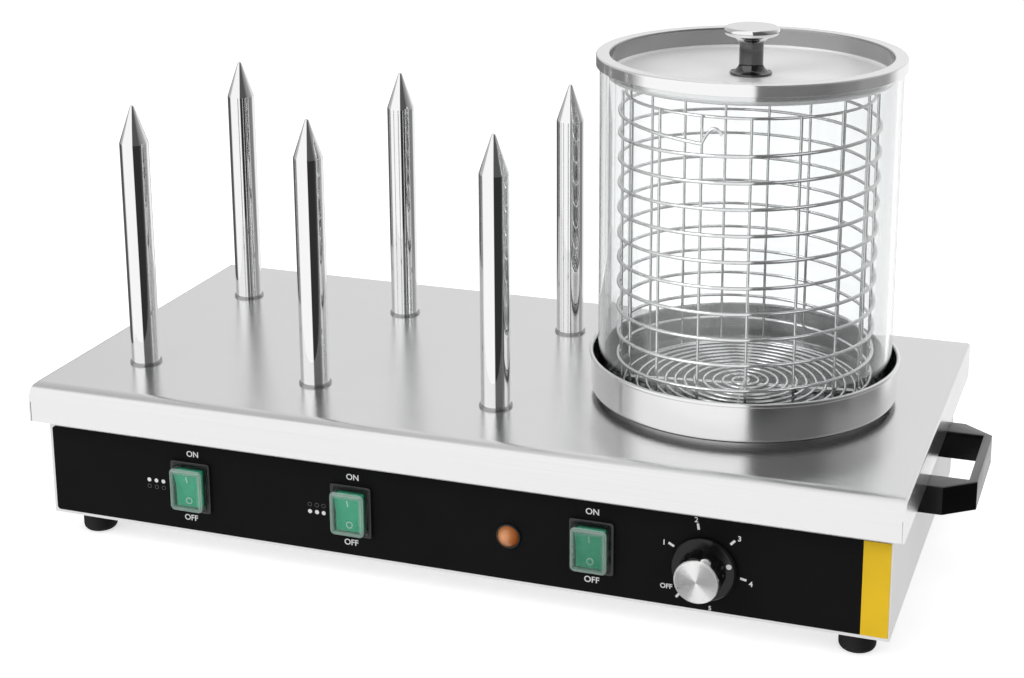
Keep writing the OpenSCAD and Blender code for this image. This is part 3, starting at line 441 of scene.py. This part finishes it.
def soften(corners, steps=6):
    """An outline from (x, y) or (x, y, radius) corners, with an arc at each radius.

    A point held just outside each arc keeps the flat beside it flat when it is shaded smooth."""
    hold = 0.12
    path = []
    for i, (x, y, *bend) in enumerate(corners):
        here = Vector((x, y))
        if not bend:
            path.append((x, y))
            continue
        before = (Vector(corners[i - 1][:2]) - here).normalized()
        after = (Vector(corners[(i + 1) % len(corners)][:2]) - here).normalized()
        half = before.angle(after) / 2
        centre = here + (before + after).normalized() * (bend[0] / math.sin(half))
        setback = bend[0] / math.tan(half)
        first, last = here + before * setback - centre, here + after * setback - centre
        start, end = math.atan2(first.y, first.x), math.atan2(last.y, last.x)
        end += math.tau * round((start - end) / math.tau)
        path.append(tuple(here + before * (setback + hold)))
        path += arc(centre.x, centre.y, bend[0], math.degrees(start), math.degrees(end), steps)
        path.append(tuple(here + after * (setback + hold)))
    return path


def lathe(profile, steps):
    """Turned solid about Z from the (radius, height) points of its section."""
    on_axis = 1e-6
    points, faces, rings = [], [], []
    for radius, height in profile:
        count = 1 if radius < on_axis else steps
        rings.append(range(len(points), len(points) + count))
        turns = [math.tau * i / count for i in range(count)]
        points += [(radius * math.cos(a), radius * math.sin(a), height) for a in turns]
    pairs = list(zip(rings, rings[1:]))
    if profile[0][0] > on_axis or profile[-1][0] > on_axis:
        pairs.append((rings[-1], rings[0]))
    for low, high in pairs:
        for i in range(steps):
            ring = [low[i % len(low)], low[(i + 1) % len(low)], high[(i + 1) % len(high)], high[i % len(high)]]
            face = list(dict.fromkeys(ring))
            if len(face) > 2:
                faces.append(face)
    return points, faces


def prism(outline, low, high):
    """Flat outline in XY, given depth along Z."""
    count = len(outline)
    points = [(x, y, z) for z in (low, high) for x, y in outline]
    faces = [list(range(count))[::-1], list(range(count, 2 * count))]
    faces += [[i, (i + 1) % count, (i + 1) % count + count, i + count] for i in range(count)]
    return points, faces


def disc(radius, low, high, steps=32):
    return lathe([(0, low), (radius, low), (radius, high), (0, high)], steps)


def hoop(inner, outer, low, high, steps):
    return lathe([(inner, low), (outer, low), (outer, high), (inner, high)], steps)


def bar(width, height, low, high):
    w, h = width / 2, height / 2
    return prism([(-w, -h), (w, -h), (w, h), (-w, h)], low, high)


def moved(part, matrix):
    return [tuple(matrix @ Vector(p)) for p in part[0]], part[1]


def at(x, y, z=0.0):
    return Matrix.Translation((x, y, z))


def on_fascia(x, z, out=0.0):
    """A frame on the fascia: X right, Y up and Z towards the user."""
    return at(x, FASCIA_Y - out, z) @ Matrix.Rotation(math.pi / 2, 4, "X")


def mesh_of(name, parts):
    points, faces = [], []
    for some_points, some_faces in parts:
        faces += [[i + len(points) for i in face] for face in some_faces]
        points += some_points
    mesh = bpy.data.meshes.new(name)
    mesh.from_pydata([[c * MM for c in p] for p in points], [], faces)
    bm = bmesh.new()
    bm.from_mesh(mesh)
    bmesh.ops.recalc_face_normals(bm, faces=bm.faces)
    bm.to_mesh(mesh)
    bm.free()
    return mesh


def evaluated(source):
    """The mesh that an object's modifiers make; the object is then removed."""
    bpy.context.view_layer.update()
    graph = bpy.context.evaluated_depsgraph_get()
    mesh = bpy.data.meshes.new_from_object(source.evaluated_get(graph))
    bpy.data.objects.remove(source)
    return mesh


def softened(node, width, segments=3):
    """A copy of a node with its edges rounded, width in millimetres."""
    mesh = nodes[node].data.copy()
    bm = bmesh.new()
    bm.from_mesh(mesh)
    bmesh.ops.remove_doubles(bm, verts=bm.verts, dist=0.002 * MM)
    bmesh.ops.dissolve_limit(bm, angle_limit=math.radians(0.6), verts=bm.verts, edges=bm.edges)
    bm.to_mesh(mesh)
    bm.free()
    if "custom_normal" in mesh.attributes:
        mesh.attributes.remove(mesh.attributes["custom_normal"])
    source = bpy.data.objects.new(node + "_source", mesh)
    bpy.context.scene.collection.objects.link(source)
    bevel = source.modifiers.new("edges", "BEVEL")
    bevel.width, bevel.segments = width * MM, segments
    bevel.limit_method, bevel.angle_limit = "ANGLE", math.radians(40)
    return evaluated(source)


# Pieces

def piece(name, mesh, finish, body, slot, *stands_for, sharp=35):
    """A finished piece that rides on a body and stands for CAD nodes, if any are named."""
    mesh.materials.clear()
    mesh.materials.append(finish.material)
    mesh.polygons.foreach_set("use_smooth", [True] * len(mesh.polygons))
    mesh.set_sharp_from_angle(angle=math.radians(sharp))
    made = bpy.data.objects.new(name, mesh)
    bpy.context.scene.collection.objects.link(made)
    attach(made, body)
    if stands_for:
        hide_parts(*stands_for)


def turned_piece(name, section, steps, places, finish, body, slot, node, sharp=35):
    """One turned shape at each place, as one piece that stands for a node."""
    turned = lathe(section, steps)
    piece(name, mesh_of(name, [moved(turned, place) for place in places]), finish, body, slot, node, sharp=sharp)


def rounded_piece(name, node, width, finish, body, slot, segments=3):
    """A node's own shape with rounded edges."""
    piece(name, softened(node, width, segments), finish, body, slot, node)


def wire_piece(name, mesh, *stands_for):
    piece(name, mesh, WIRE, "basket", "basket_wire", *stands_for, sharp=60)


# Geometry recipes

class Recipe(Graph):
    """A geometry tree whose named inputs are its sizes and its finish."""

    def __init__(self, name, **sizes):
        super().__init__(bpy.data.node_groups.new(name, "GeometryNodeTree"))
        face = self.tree.interface
        face.new_socket("Shape", in_out="OUTPUT", socket_type="NodeSocketGeometry")
        for label, kind in {"Shape": "Geometry", **sizes, "Finish": "Material"}.items():
            face.new_socket(label, in_out="INPUT", socket_type="NodeSocket" + kind)
        self.source = self.tree.nodes.new("NodeGroupInput")
        self.sink = self.tree.nodes.new("NodeGroupOutput")

    def size(self, label):
        return Value(self, self.source.outputs[label])

    def upright(self, value):
        return self.node("ShaderNodeCombineXYZ", None, 0.0, 0.0, value)

    def rod(self, path, wire, sides=12):
        """A round wire along a curve."""
        section = self.node("GeometryNodeCurvePrimitiveCircle", None, Resolution=sides, Radius=wire * 0.5)
        return self.node("GeometryNodeCurveToMesh", None, Curve=path, Profile_Curve=section, Fill_Caps=True)

    def put(self, shape):
        """The shape at the place and turn that the inputs give."""
        return self.node("GeometryNodeTransform", None, Geometry=shape, Translation=self.size("Place"),
                         Rotation=self.upright(self.size("Start")))

    def serve(self, shape):
        shape = self.node("GeometryNodeSetShadeSmooth", None, shape)
        shape = self.node("GeometryNodeRealizeInstances", None, shape)
        shape = self.node("GeometryNodeSetMaterial", None, shape, Material=self.size("Finish"))
        self.feed(self.sink.inputs[0], shape)
        return self

    def cook(self, name, finish, points=(), edges=(), **sizes):
        """The plain mesh that this recipe makes with these sizes."""
        mesh = bpy.data.meshes.new(name)
        mesh.from_pydata([[c * MM for c in p] for p in points], edges, [])
        source = bpy.data.objects.new(name, mesh)
        bpy.context.scene.collection.objects.link(source)
        modifier = source.modifiers.new("recipe", "NODES")
        modifier.node_group = self.tree
        sizes["Finish"] = finish.material
        for item in self.tree.interface.items_tree:
            if item.in_out == "INPUT" and item.name in sizes:
                modifier[item.identifier] = sizes[item.name]
        return evaluated(source)


def wound_wire():
    """Wire wound from an inner to an outer radius, which may dip towards its end."""
    r = Recipe("wound_wire", Wire="Float", Inner="Float", Outer="Float", Turns="Float", Rise="Float",
               Rings="Int", Place="Vector", Start="Float", Dip="Float", Dip_Share="Float")
    path = r.node("GeometryNodeCurveSpiral", None, Resolution=r.size("Rings"), Rotations=r.size("Turns"),
                  Start_Radius=r.size("Inner"), End_Radius=r.size("Outer"), Height=r.size("Rise"), Reverse=True)
    along = r.node("GeometryNodeSplineParameter", None, out="Factor")
    bend = ((along - 1) / r.size("Dip_Share") + 1).clamped()
    drop = r.upright(0 - bend.squared() * r.size("Dip"))
    path = r.node("GeometryNodeSetPosition", None, Geometry=path, Offset=drop)
    return r.serve(r.put(r.rod(path, r.size("Wire"), 10)))


def ring_of_wires():
    """Upright wires that stand in a ring."""
    r = Recipe("ring_of_wires", Wire="Float", Radius="Float", Count="Int", Height="Float", Place="Vector",
               Start="Float")
    line = r.node("GeometryNodeCurvePrimitiveLine", None, End=r.upright(r.size("Height")))
    places = r.node("GeometryNodeMeshCircle", None, Vertices=r.size("Count"), Radius=r.size("Radius"))
    rods = r.node("GeometryNodeInstanceOnPoints", None, Points=places, Instance=r.rod(line, r.size("Wire")))
    return r.serve(r.put(rods))


def bent_wire():
    """Wire along the edges of the object's own mesh."""
    r = Recipe("bent_wire", Wire="Float")
    path = r.node("GeometryNodeMeshToCurve", None, r.size("Shape"))
    return r.serve(r.rod(path, r.size("Wire")))


def weld_beads():
    """A small round bead on each point of the object's own mesh."""
    r = Recipe("weld_beads", Bead="Float")
    bead = r.node("GeometryNodeMeshUVSphere", None, Segments=8, Rings=5, Radius=r.size("Bead"))
    return r.serve(r.node("GeometryNodeInstanceOnPoints", None, Points=r.size("Shape"), Instance=bead))


def copies_of():
    """A copy of a pattern object on each point of the object's own mesh."""
    r = Recipe("copies_of", Pattern="Object")
    pattern = r.node("GeometryNodeObjectInfo", None, Object=r.size("Pattern"), out="Geometry")
    return r.serve(r.node("GeometryNodeInstanceOnPoints", None, Points=r.size("Shape"), Instance=pattern))


# Case: panels, cover, feet and handles

def dress(finish, *names):
    for name in names:
        nodes[name].material_slots[0].material = finish.material


def make_case():
    dress(COVER, "top_cover")
    dress(PANEL, "front_panel", "rear_panel", "side_panel_left", "side_panel_right")
    dress(FILM, "control_fascia")
    dress(YELLOW, "accent_strip")
    dress(ZINC, "base_plate", "handle_screws", "foot_fixings", "spike_nuts", "pilot_nut", "heater_clamp",
          "clamp_fixings", "thermostat_shaft", "lid_screw", "pan_seat")
    dress(HEATER, "spike_heaters", "boiler_heater")
    dress(BRASS, "switch_terminals")
    dress(PHENOLIC, "thermostat_body")
    dress(IVORY, "terminal_block")
    dress(SWITCH, "thermal_cutout", "gland_nut")
    for side in ("left", "right"):
        rounded_piece("grip_" + side, "handle_" + side, 2.2, HANDLE, "base", "handle_black", segments=4)
    rounded_piece("gland", "cable_gland", 0.8, HANDLE, "base", "handle_black")
    foot = soften([(FOOT_BORE, WELL_H), (FOOT_WELL, WELL_H), (FOOT_WELL, 0, 0.8), (FOOT_R, 0, 4),
                   (FOOT_R, FOOT_H, 0.6), (FOOT_BORE, FOOT_H)])
    turned_piece("rubber_feet", foot, 64, [at(x, y) for x, y in FEET], RUBBER, "base", "foot_rubber", "feet")
    make_base_screws()


def make_base_screws():
    """Cross-slotted pan-head screws up through the base plate."""
    run, side, edge_y, edge_x, level = 238, 69.5, 133, 291, 18
    head_z, tip_z, slot_l, slot_w, slot_depth = -2, 5, 4.4, 0.8, 0.02
    places = [(x, y, level) for x in (-run, 0, run) for y in (-edge_y, edge_y)]
    places += [(x, y, level) for x in (-edge_x, edge_x) for y in (-side, side)]
    screw = soften([(4, head_z, 1.2), (4, 0), (2, 0), (2, tip_z, 0.4)])
    screw = lathe([(0, head_z)] + screw + [(0, tip_z)], 24)
    slot = bar(slot_l, slot_w, head_z - slot_depth, head_z + slot_depth)
    slots = [moved(slot, Matrix.Rotation(angle, 4, "Z")) for angle in (0, math.pi / 2)]
    pattern = bpy.data.objects.new("screw_pattern", mesh_of("screw_pattern", [screw] + slots))
    bpy.context.scene.collection.objects.link(pattern)
    mesh = copies_of().cook("base_fixings", ZINC, places, Pattern=pattern)
    bpy.data.objects.remove(pattern)
    piece("base_fixings", mesh, ZINC, "base", "zinc_steel", "base_screws")


# Spikes

def make_spikes():
    slope = math.degrees(math.atan(SPIKE_R / SPIKE_CONE))
    tip = arc(0, SPIKE_H - SPIKE_TIP, SPIKE_TIP, slope, 90, 6)
    shank = soften([(SPIKE_BORE, BORE_TOP), (SPIKE_BORE, STUD_END), (SPIKE_STUD, STUD_END), (SPIKE_STUD, 0),
                    (SPIKE_R, 0, 0.4), (SPIKE_R, SPIKE_H - SPIKE_CONE, 5), tip[0]])
    section = [(0, BORE_TOP)] + shank[:-1] + tip[:-1] + [(0, SPIKE_H)]
    for name, (x, y) in SPIKES.items():
        turned_piece("bun_spike_" + name, section, 96, [at(x, y, COVER_Z)], SPIKE, "base", "spike_chrome",
                     "spike_" + name, sharp=50)
    # The collars take the darker grey of painted shade
    collar = soften([(COLLAR_IN, 0), (COLLAR_OUT, 0), (COLLAR_OUT, COLLAR_H, 0.5), (COLLAR_IN, COLLAR_H, 0.2)])
    turned_piece("spike_collar_rings", collar, 72, [at(x, y, COVER_Z) for x, y in SPIKES.values()], COLLAR_PAINTED_SHADE, "base",
                 "spike_chrome", "spike_collars")


# Steamer: pan, glass, lid and basket

def make_steamer():
    places = [at(STEAMER_X, 0)]
    inner, floor, bead_z = PAN_R - PAN_T, PAN_Z + PAN_T, PAN_RIM - PAN_BEAD
    neck_z = bead_z - BEAD_NECK
    pan = [(0, floor)] + soften([(0, floor), (inner, floor, PAN_BEND - PAN_T), (inner, neck_z)], 8)[1:]
    pan += arc(PAN_R, bead_z, PAN_BEAD, 228, -90, 18)
    pan += soften([(PAN_R, neck_z), (PAN_R, PAN_Z, PAN_BEND), (0, PAN_Z)], 8)
    turned_piece("steamer_water_pan", pan, 192, places, PAN, "base", "polished_steel", "water_pan")
    glass = soften([(r, z, GLASS_EDGE) for r, z in ((GLASS_IN, GLASS_Z), (GLASS_OUT, GLASS_Z),
                                                    (GLASS_OUT, GLASS_TOP), (GLASS_IN, GLASS_TOP))])
    turned_piece("steamer_glass", glass, 192, places, GLASS, "glass", "clear_glass", "glass_cylinder")
    under, skirt_z, floor_under = LID_TOP - LID_T, LID_TOP - LID_SKIRT, LID_FLOOR - LID_T
    lid = soften([(LID_BORE, LID_FLOOR), (LID_WELL, LID_FLOOR, 2.4), (LID_WELL, LID_TOP, 1.4), (LID_R, LID_TOP, 1.4),
                  (LID_R, skirt_z, 0.3), (LID_R - LID_T, skirt_z, 0.3), (LID_R - LID_T, under, 0.4),
                  (LID_WELL + LID_T, under, 0.4), (LID_WELL + LID_T, floor_under, 3.2), (LID_BORE, floor_under)])
    turned_piece("steamer_lid", lid, 192, places, LID, "lid", "polished_steel", "lid_pan")
    turned_piece("steamer_lid_knob", lid_knob_section(), 96, places, LID_KNOB, "lid", "spike_chrome", "lid_knob")


def lid_knob_section():
    """Screw bore, foot flange, hollow, stem, flare and rolled head, from the bottom up."""
    base, head = LID_FLOOR, LID_FLOOR + KNOB_H
    bore_top, flange = base + 17, base + 1.5
    section = [(0, bore_top), (LID_BORE, bore_top)]
    section += soften([(LID_BORE, base), (KNOB_FOOT, base, 0.4), (KNOB_FOOT, flange, 0.4), (12, flange)])[:-1]
    section += arc(KNOB_FOOT, base + 7.5, 6, 265, 180, 10) + [(KNOB_STEM, base + 7.7), (KNOB_STEM, head - 14.2)]
    section += arc(15.8, head - 14, 7.8, 180, 93, 12) + arc(15.5, head - 3, 3, -80, 84, 12)
    return section + [(15, head - 0.03), (0, head)]


def on_axis(z):
    """A point on the steamer's axis, in metres."""
    return (STEAMER_X * MM, 0, z * MM)


def about_axis(radius, angle, z):
    """A point about the steamer's axis, in millimetres, with its angle in degrees."""
    turn = math.radians(angle)
    return (STEAMER_X + radius * math.cos(turn), radius * math.sin(turn), z)


def make_basket():
    coil, bent = wound_wire(), bent_wire()
    wire_piece("basket_side_coil", coil.cook(
        "basket_side_coil", WIRE, Wire=COIL_WIRE * MM, Inner=COIL_R * MM, Outer=COIL_R * MM,
        Turns=float(COIL_TURNS), Rise=(COIL_HIGH - COIL_LOW) * MM, Rings=96, Place=on_axis(COIL_LOW),
        Start=math.radians(COIL_START), Dip=COIL_DIP * MM, Dip_Share=DIP_SHARE), "basket_helix")
    wire_piece("basket_floor_spiral", coil.cook(
        "basket_floor_spiral", WIRE, Wire=SPIRAL_WIRE * MM, Inner=SPIRAL_IN * MM, Outer=SPIRAL_OUT * MM,
        Turns=SPIRAL_TURNS, Rise=0.0, Rings=72, Place=on_axis(FLOOR_Z), Start=0.0, Dip=0.0, Dip_Share=1.0),
        "basket_floor")
    wire_piece("basket_posts", ring_of_wires().cook(
        "basket_posts", WIRE, Wire=UPRIGHT_WIRE * MM, Radius=UPRIGHT_R * MM, Count=UPRIGHTS,
        Height=(UPRIGHT_TOP - BAR_TOP) * MM, Place=on_axis(BAR_TOP), Start=math.radians(UPRIGHT_PHASE)),
        "basket_uprights")
    for name, node, z in (("basket_top_ring", "basket_rim", RIM_Z),
                          ("basket_low_ring", "basket_base_ring", BAR_TOP + RING_WIRE / 2)):
        ring = lathe(arc(RING_R, z, RING_WIRE / 2, 0, 330, 11), 160)
        wire_piece(name, mesh_of(name, [moved(ring, at(STEAMER_X, 0))]), node)
    ends = [about_axis(side * BAR_REACH, angle, BAR_TOP - BAR_DROP) for angle in BAR_ANGLES for side in (-1, 1)]
    mesh = bent.cook("basket_cross_bars", WIRE, ends, [(0, 1), (2, 3)], Wire=BAR_WIRE * MM)
    wire_piece("basket_cross_bars", mesh, "basket_floor_bars")
    make_coil_hook(bent)
    make_welds()


def make_coil_hook(bent):
    """The hooked end of the side wire."""
    hook = []
    for i in range(HOOK_STEPS + 1):
        step = i / HOOK_STEPS
        height = COIL_HIGH - COIL_DIP + HOOK_RISE * math.sin(math.pi * 0.8 * step)
        hook.append(about_axis(COIL_R - HOOK_IN * step, COIL_START + HOOK_TURN * step, height))
    edges = [(i, i + 1) for i in range(HOOK_STEPS)]
    wire_piece("basket_coil_end", bent.cook("basket_coil_end", WIRE, hook, edges, Wire=HOOK_WIRE * MM))


def make_welds():
    """The weld beads where the side wire crosses the posts, along its dip too."""
    rise = (COIL_HIGH - COIL_LOW) / COIL_TURNS
    beads = []
    for i in range(UPRIGHTS):
        angle = UPRIGHT_PHASE + 360 / UPRIGHTS * i
        first = (angle - COIL_START) % 360 / 360
        for turn in range(COIL_TURNS):
            bend = max(0.0, ((first + turn) / COIL_TURNS - 1) / DIP_SHARE + 1)
            beads.append(about_axis(WELD_R, angle, COIL_LOW + rise * (first + turn) - COIL_DIP * bend ** 2))
    wire_piece("basket_welds", weld_beads().cook("basket_welds", WIRE, beads, Bead=WELD_BEAD * MM))


# Controls: switches, lamp, knob and printed legends

INK, INK_GAP, LETTER_GAP = 0.06, 0.02, 0.05
# Text, its place across and up the fascia, and the height of its capitals
LEGENDS = [("ON", -183.8, 77.2, 4.1), ("ON", -62.8, 77.2, 4.1), ("ON", 105.9, 77.2, 4.1),
           ("OFF", -187.1, 29.5, 4.1), ("OFF", -65.0, 29.5, 4.1), ("OFF", 105.5, 29.5, 4.1),
           ("1", 153.6, 63.4, 3.4), ("2", 174.5, 82.0, 3.4), ("3", 202.5, 73.1, 3.4),
           ("4", 210.4, 43.3, 3.4), ("5", 184.3, 22.3, 2.9), ("OFF", 155.4, 33.2, 3.2)]
# Row dots: their places across, and the heights of the white and the dim row
ROW_DOTS = [((-219.0, -213.4, -207.9), 53.8, 49.0), ((-95.2, -90.0, -85.0), 48.1, 53.3)]
# Dial ticks: angle in degrees and distance from the dial's middle
DIAL_TICKS = [(151.5, 24.9), (99.5, 27.2), (47.0, 26.3), (-11.0, 25.7), (232.8, 28.2)]


def make_switches():
    on_mark, off_mark = bar(0.9, 5.0, 0.0, INK), hoop(1.75, 2.5, 0.0, INK, 40)
    on_up, off_up = 8.3, -8.4
    for name, x in SWITCHES.items():
        rocker = name + "_rocker_body"
        rounded_piece("switch_case_" + name, "switch_housing_" + name, 0.5, SWITCH, "base", "switch_black")
        rounded_piece("switch_boot_" + name, "boot_" + name, 1.0, BOOTS[name], "base", "boot_clear", segments=4)
        rounded_piece("switch_rocker_" + name, "rocker_" + name, 0.5, GREEN, rocker, "rocker_green")
        tipped = on_fascia(x, SWITCH_Z, PIVOT_OUT) @ Matrix.Rotation(ROCKER_TILT, 4, "X") @ at(0, 0, ROCKER_MID)
        upper = tipped @ Matrix.Rotation(ROCKER_TILT, 4, "X")
        lower = tipped @ Matrix.Rotation(-ROCKER_TILT, 4, "X")
        marks = [moved(on_mark, upper @ at(0, on_up, INK_GAP)), moved(off_mark, lower @ at(0, off_up, INK_GAP))]
        piece("rocker_marks_" + name, mesh_of("rocker_marks_" + name, marks), MINT_INK, rocker, "rocker_green")


def make_lamp():
    place = on_fascia(*LAMP)
    collar = soften([(7.45, 0.0), (8.7, 0.0), (8.7, 1.2, 0.6), (8.2, 1.9, 0.3), (7.45, 1.9, 0.2)])
    parts = [moved(lathe(collar, 64), place), moved(disc(6.3, -13.8, 0, 48), place)]
    piece("lamp_collar", mesh_of("lamp_collar", parts), SWITCH, "base", "switch_black", "pilot_collar")
    dome = [(0, 1.2), (7.4, 1.2)] + arc(0, -0.36, 7.56, 12, 90, 16)[1:-1] + [(0, 7.2)]
    turned_piece("lamp_dome", dome, 64, [place], AMBER, "base", "lens_amber", "pilot_lens", sharp=50)


def make_knob():
    rounded_piece("dial_grip", "knob_grip", 0.5, GRIP, "dial_knob", "switch_black")
    rounded_piece("dial_cap", "knob_cap", 0.35, CAP, "dial_knob", "knob_silver")
    place = at(POINTER_REACH * math.cos(POINTER_TURN), POINTER_REACH * math.sin(POINTER_TURN))
    dot = moved(disc(POINTER_R, POINTER_LOW, POINTER_HIGH), on_fascia(*DIAL) @ place)
    piece("dial_pointer", mesh_of("dial_pointer", [dot]), WHITE_INK, "dial_knob", "switch_black")


def letters(text, height):
    """Text as a thin solid in XY, centred on the origin, height of its capitals in millimetres."""
    capital_share = 0.69
    curve = bpy.data.curves.new("legend", "FONT")
    curve.body, curve.size = text, height / capital_share
    curve.align_x, curve.align_y = "CENTER", "CENTER"
    curve.extrude, curve.resolution_u, curve.offset = INK / 2, 6, 0.1
    source = bpy.data.objects.new("legend", curve)
    bpy.context.scene.collection.objects.link(source)
    mesh = evaluated(source)
    bm = bmesh.new()
    bm.from_mesh(mesh)
    bmesh.ops.remove_doubles(bm, verts=bm.verts, dist=0.0005)
    part = [tuple(v.co) for v in bm.verts], [[v.index for v in face.verts] for face in bm.faces]
    bm.free()
    bpy.data.meshes.remove(mesh)
    return part


def make_legends():
    white = [moved(letters(text, height), on_fascia(x, z, LETTER_GAP)) for text, x, z, height in LEGENDS]
    dim = []
    spot, ring = disc(1.5, 0.0, INK, 24), hoop(1.15, 1.6, 0.0, INK, 24)
    for row, white_z, dim_z in ROW_DOTS:
        white += [moved(spot, on_fascia(x, white_z, INK_GAP)) for x in row]
        dim += [moved(ring, on_fascia(x, dim_z, INK_GAP)) for x in row]
    tick, middle = bar(4.2, 1.6, 0.0, INK), on_fascia(DIAL[0], DIAL[1] + 1, INK_GAP)
    for angle, reach in DIAL_TICKS:
        white.append(moved(tick, middle @ Matrix.Rotation(math.radians(angle), 4, "Z") @ at(reach, 0)))
    piece("printed_legends", mesh_of("printed_legends", white), WHITE_INK, "base", "fascia_black")
    piece("printed_dim_dots", mesh_of("printed_dim_dots", dim), DIM_INK, "base", "fascia_black")


# Studio: camera, floor, room and lamps

CAMERA_AT = (453.69, -1250.40, 605.49)
YAW, PITCH, ROLL = (math.radians(a) for a in (19.889, 14.976, -0.36))
LENS, SENSOR, SHIFT_Y = 68.89, 36, -0.15
FLOOR_HALF, FLOOR_GLOW = 6, 0.62
# Brightness of the room that polished metal sees, by degrees from the front round to the right:
# near the floor and above it
WHITE_WALL, DARK_WALL = 1.0, 0.03
LOW_ROOM = [(-180, 0.95), (-160, 0.30), (-146, 0.12), (-86, 0.08), (-70, WHITE_WALL), (15.5, WHITE_WALL),
            (18, DARK_WALL), (70, DARK_WALL), (84, 0.09), (95, 0.11), (100, 0.20), (130, 0.24), (147, 0.95),
            (180, 0.95)]
HIGH_ROOM = [(-180, 0.82), (-150, 0.74), (-136, 0.55), (-86, 0.45), (-70, WHITE_WALL), (15.5, WHITE_WALL),
             (18, 0.09), (70, 0.09), (86, 0.23), (128, 0.40), (150, 0.76), (180, 0.82)]
CEILING, NEAR_FLOOR = 0.95, 0.85
AMBIENT = 0.45
# Where the room changes, as the height of a direction from -1, down, to 1, up
HORIZON, CEILING_FROM, FLOOR_FROM, ROOM_BLEND = 0.06, 0.94, 0.93, 0.05
# Soft lamps in metres and watts: place, width and power
LAMPS = {"key": ((-1.1, -1.5, 1.5), 1.4, 16), "fill": ((1.5, -1.0, 1.1), 1.2, 6), "top": ((0.0, 0.5, 1.9), 1.4, 8)}
LAMPS_AIM = Vector((0, 0, 0.15))


def make_camera():
    forward = Vector((-math.sin(YAW) * math.cos(PITCH), math.cos(YAW) * math.cos(PITCH), -math.sin(PITCH)))
    right = Vector((math.cos(YAW), math.sin(YAW), 0))
    up = right.cross(forward)
    across = math.cos(ROLL) * right + math.sin(ROLL) * up
    above = math.cos(ROLL) * up - math.sin(ROLL) * right
    data = bpy.data.cameras.new("camera")
    data.sensor_fit, data.sensor_width = "HORIZONTAL", SENSOR
    data.lens, data.shift_y = LENS, SHIFT_Y
    data.clip_start, data.clip_end = 0.05, 50
    camera = bpy.data.objects.new("camera", data)
    turn = Matrix((across, above, -forward)).transposed().to_4x4()
    camera.matrix_world = Matrix.Translation([c * MM for c in CAMERA_AT]) @ turn
    bpy.context.scene.collection.objects.link(camera)
    bpy.context.scene.camera = camera


def make_floor():
    """Pale paper, white to the camera and clear to mirrored rays, which see the room instead."""
    mesh = bpy.data.meshes.new("floor")
    corners = [(-FLOOR_HALF, -FLOOR_HALF, 0), (FLOOR_HALF, -FLOOR_HALF, 0),
               (FLOOR_HALF, FLOOR_HALF, 0), (-FLOOR_HALF, FLOOR_HALF, 0)]
    mesh.from_pydata(corners, [], [[0, 1, 2, 3]])
    floor = bpy.data.objects.new("floor", mesh)
    f = Finish("pale_floor")
    paper = f.specks(30, 3.0)
    straight, mirrored = f.sight()
    f.set(Base_Color=f.tint(paper, grey(0.80), grey(0.84)), Roughness=0.9, Specular_IOR_Level=0.0,
          Emission_Color=f.tint(straight, grey(0), grey(FLOOR_GLOW)), Emission_Strength=1.0)
    clear = f.node("ShaderNodeBsdfTransparent")
    mix = f.node("ShaderNodeMixShader", None, mirrored, Value(f, f.shader.outputs[0]), clear)
    f.feed(f.output.inputs[0], mix)
    mesh.materials.append(f.material)
    bpy.context.scene.collection.objects.link(floor)


def make_room():
    """White to the camera, an even grey for light on dull surfaces, and light and dark walls for mirrors."""
    world = bpy.data.worlds.new("room")
    world.use_nodes = True
    bpy.context.scene.world = world
    g = Graph(world.node_tree)
    g.tree.nodes.clear()
    direction = g.node("ShaderNodeTexCoord", None, out="Generated")
    z = g.split(direction)[2]
    straight, mirrored = g.sight()
    above = ((z + HORIZON) / (2 * HORIZON)).clamped()
    room = g.tint(above, g.studio(direction, LOW_ROOM), g.studio(direction, HIGH_ROOM))
    room = g.tint(((z - CEILING_FROM) / ROOM_BLEND).clamped(), room, grey(CEILING))
    room = g.tint(((0 - z - FLOOR_FROM) / ROOM_BLEND).clamped(), room, grey(NEAR_FLOOR))
    light = g.tint(mirrored, grey(AMBIENT), room)
    light = g.tint(straight, light, grey(1.0))
    output = g.tree.nodes.new("ShaderNodeOutputWorld")
    g.feed(output.inputs[0], g.node("ShaderNodeBackground", None, light, 1.0))


def make_lamps():
    for name, (place, width, watts) in LAMPS.items():
        data = bpy.data.lights.new(name, "AREA")
        data.shape, data.size, data.energy = "DISK", width, watts
        lamp = bpy.data.objects.new(name, data)
        lamp.location = place
        lamp.rotation_euler = (LAMPS_AIM - Vector(place)).to_track_quat("-Z", "Y").to_euler()
        lamp.visible_glossy = False
        bpy.context.scene.collection.objects.link(lamp)


make_camera()
make_case()
make_spikes()
make_steamer()
make_basket()
make_switches()
make_lamp()
make_knob()
make_legends()
make_floor()
make_room()
make_lamps()
bpy.context.scene.view_settings.view_transform = "Standard"
